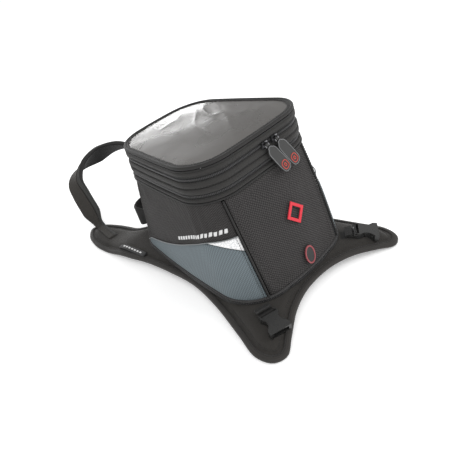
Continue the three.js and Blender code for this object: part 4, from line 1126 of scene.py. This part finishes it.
def strap_layer(name, near, far, puff, across_from, across_to, first=0.0):
    """One layer of the strap between two distances from its middle, over part of its width, with soft edges.

    It leaves out what is nearer to an end than `first`."""
    sections = []
    for p, across, through, width, from_end in strap_frames():
        if from_end < first:
            continue
        body = strap_body(from_end)
        loop = []
        for t in (k / 16 for k in range(17)):
            swell = (math.sin(math.pi * t) ** 0.5 - 1) * puff
            side = across * mix(across_from, across_to, t) * width
            loop.append(p + side + through * body * (far + math.copysign(swell, far)))
        for t in (k / 16 for k in range(17)):
            loop.append(p + across * mix(across_to, across_from, t) * width + through * body * near)
        sections.append(loop)
    return sweep(name, sections, False)


def make_strap():
    cover = strap_layer("strap_cover", -0.2, -4.4, 1.6, -0.49, 0.2)
    finish_piece(cover, None, STRAP_CLOTH,
                 ["headstock_strap_cover", "left_strap_anchor", "right_strap_anchor"])
    flap = strap_layer("strap_flap", -0.2, -4.0, 1.3, 0.235, 0.49)
    finish_piece(flap, None, FLAP_CLOTH)
    lining = strap_layer("strap_lining", 0.0, 3.8, 1.4, -0.49, 0.49, first=STRAP_LINED_FROM)
    finish_piece(lining, None, LINING, ["headstock_strap_lining"])
    pieces = [cover, flap, lining]
    for side, name in ((-1, "outer"), (1, "inner")):
        sections, path, out = [], [], []
        for p, across, through, width, from_end in strap_frames():
            body = strap_body(from_end)
            path.append(p + across * side * (width / 2 - 3.6) - through * (4.4 * body - 0.35))
            out.append(-through)
            if from_end >= STRAP_LINED_FROM:
                centre = p + across * side * (width / 2 - 0.2)
                sections.append([centre + across * a * 1.2 + through * b * 3.9 * body for a, b in circle(12)])
        edge = sweep(f"strap_edge_{name}", sections, False)
        finish_piece(edge, None, TRIM)
        pieces += [edge, stitches(f"strap_stitches_{name}", path, out, None)]
    for piece in pieces:
        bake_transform(piece)


# ------------------------------------------------------------------ handle and hardware
def make_handle():
    low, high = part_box("carry_handle")
    z = ((low.z + high.z) / 2 - GROUND) / MM
    thick, patch_proud, patch_low, patch_high = 4.4, 4.0, 0.03, 0.32
    x, y, _ = wall_point(2.8, 0.17, patch_proud)
    half = [(x, y), (x * 1.14, y + 15), (x * 1.24, y + 31), (x * 0.9, 196.0)]
    path = spline(mirrored(half, [(0, 200.0)]), False, 60)
    sections = []
    for i, ((x, y), ahead) in enumerate(zip(path, unit(np.gradient(path, axis=0)))):
        height = mix(27.0, 42.0, ease(min(i, len(path) - 1 - i) / 9))
        sections.append([(x - ahead[1] * a, y + ahead[0] * a, z + b) for a, b in rounded(thick, height, 2.0)])
    handle = sweep("carry_handle_webbing", sections, False)
    finish_piece(handle, "bag", WEBBING, ["carry_handle"])
    for side in ("left", "right"):
        outer, inner = [], []
        for s in np.linspace(2.68, 2.92, 14):
            outer.append([])
            for up in np.linspace(patch_low, patch_high, 22):
                edge = min(up - patch_low, patch_high - up) * 150
                lift = 0.9 * (1 - math.exp(-edge / 1.2))
                outer[-1].append(wall_point(s, up, patch_proud) + outward(s) * lift)
            inner.append([wall_point(s, up, 1.2) for up in np.linspace(patch_low, patch_high, 22)])
        flip = side == "right"
        anchor = shell(f"{side}_handle_patch", mirror(outer, flip), mirror(inner, flip))
        finish_piece(anchor, "bag", WEBBING, [f"{side}_handle_anchor"])


def hang(points, pin):
    """Turns points from a main puller's own frame, hanging from its pin along -Z, into the bag's."""
    turn = (Matrix.Rotation(math.radians(-PULLER_LEAN), 3, "X")
            @ Matrix.Rotation(math.radians(-PULLER_TILT), 3, "Y"))
    return [np.array(turn @ Vector(p)) + pin for p in points]


def puller_tube(name, outline, y, radius, pin):
    """A thin tube round an outline in a puller's own frame."""
    outline = np.array(outline, float)
    sections = []
    for (x, z), (ax, az) in zip(outline, -left_of(outline)):
        loop = [(x + ax * radius * a, y + radius * b, z + az * radius * a) for a, b in circle(8)]
        sections.append(hang(loop, pin))
    return sweep(name, sections, True)


def make_main_puller(side, x):
    """A rubber puller with a red ring let into its end, and a pale grey painted edge highlight round its
    face.
    """
    straight = 2 * (RIM["half_rear"] - RIM["radius_rear"])
    pin = skin(7.5 - x / straight, PULLER_DEPTH, PULLER_PROUD)
    pin[0] = x
    body = f"{side}_puller"
    thick, eye_radius, eye_tube = PULLER_HALF_THICK, 2.1, 0.65
    outline = spline(mirrored(PULLER_HALF_OUTLINE, [(0, PULLER_TIP)]), True, 96)
    inward = -left_of(outline)
    profile = ((2.2, -thick), (1.5, -thick), (0.5, 0.3 - thick), (0.0, 1.0 - thick), (0.0, thick - 1.0),
               (0.5, thick - 0.3), (1.5, thick), (2.2, thick))
    sections = [hang([(px, y, pz) for px, pz in outline + inward * inset], pin) for inset, y in profile]
    grip = sweep(f"{side}_pull_grip", sections, False)
    finish_piece(grip, body, PULL_RUBBER, [f"{side}_puller"])
    eye = []
    for c, s in circle(24):
        loop = [(eye_radius * a, (eye_radius + eye_tube * b) * c, (eye_radius + eye_tube * b) * s)
                for a, b in circle()]
        eye.append(hang(loop, pin))
    finish_piece(sweep(f"{side}_pull_eye", eye, True), body, PULL_RUBBER)
    # A pale grey tube just inside the puller's outline: a painted highlight where its edge catches the light.
    painted_highlight_rim = puller_tube(f"{side}_pull_painted_highlight", outline + inward * 0.9, 0.1 - thick, 0.6, pin)
    finish_piece(painted_highlight_rim, body, PAINTED_EDGE_HIGHLIGHT)
    marks = ((10.4, 14.0, [f"{side}_puller_inlay"]), (3.0, 5.0, []))
    for index, (width, height, replaced) in enumerate(marks):
        mark = [(a, b + MARK_CENTRE) for a, b in rounded(width, height, width * 0.42, 8)]
        tube = puller_tube(f"{side}_pull_mark_{index}", mark, -thick - 0.05, 0.75, pin)
        finish_piece(tube, body, RED_INLAY, replaced)


def make_hardware():
    for side, x in PULLER_PLACES.items():
        make_main_puller(side, x)
        keep_node(f"{side}_slider", METAL, 0.0004)
        keep_node(f"{side}_buckle_socket", PLASTIC, 0.0009)
        keep_node(f"{side}_buckle_tab", WEBBING_LOOP, 0.0004)
    for zip_name in ("expansion_zip", "base_zip"):
        keep_node(f"{zip_name}_slider", METAL, 0.0003)
        keep_node(f"{zip_name}_puller", RUBBER, 0.0005)
    keep_node("rear_emblem", RED, 0.0005)
    keep_node("rear_badge_ring", RED_DULL, 0.0005)
    keep_node("rear_badge_centre", RUBBER, 0.0003)


# ------------------------------------------------------------------ trim on the pad's wings
LABEL_CENTRE, LABEL_YAW = (-123, 148), 4
TAB_FROM_MIDDLE, TAB_BACK, TAB_REACH = 110, -207, 19


def pad_patch(name, centre, yaw, width, length, thickness, clear, material, nodes=()):
    """A patch of webbing or rubber that lies on the pad."""
    c, s = math.cos(math.radians(yaw)), math.sin(math.radians(yaw))
    outer, inner = [], []
    for v in np.linspace(-0.5, 0.5, 30):
        row_out, row_in = [], []
        for u in np.linspace(-0.5, 0.5, 14):
            x = centre[0] + u * width * c - v * length * s
            y = centre[1] + u * width * s + v * length * c
            edge = min((0.5 - abs(u)) * width, (0.5 - abs(v)) * length)
            lift = thickness * (1 - 0.6 * math.exp(-edge / 0.7))
            row_out.append((x, y, dome(x, y) + clear + lift))
            row_in.append((x, y, dome(x, y) + clear - 0.9))
        outer.append(row_out)
        inner.append(row_in)
    finish_piece(shell(name, outer, inner), "pad", material, nodes)


def make_wing_trim():
    x, y = LABEL_CENTRE
    lean = math.radians(LABEL_YAW)
    pad_patch("wing_label_plate", (x, y), LABEL_YAW, 11, 84, 1.1, 0.7, RUBBER, ["wing_label"])
    for k in range(7):
        t = (k - 3) * 9.0
        centre = (x - t * math.sin(lean), y + t * math.cos(lean))
        pad_patch(f"wing_label_dash_{k}", centre, LABEL_YAW, 3.0, 6.0, 0.5, 1.75, PRINT)
    for name, side, yaw in (("left", -1, -16), ("right", 1, 40)):
        angle = math.radians(yaw)
        x, y = side * TAB_FROM_MIDDLE - math.sin(angle) * TAB_REACH, TAB_BACK + math.cos(angle) * TAB_REACH
        pad_patch(f"{name}_tab_patch", (x, y), yaw, 24.5, 13, 1.7, 0.6, WEBBING)


make_camera()
make_floor()
make_light()
make_pad()
make_body()
make_rings()
make_base_zip()
make_lid()
make_strap()
make_handle()
make_hardware()
make_wing_trim()
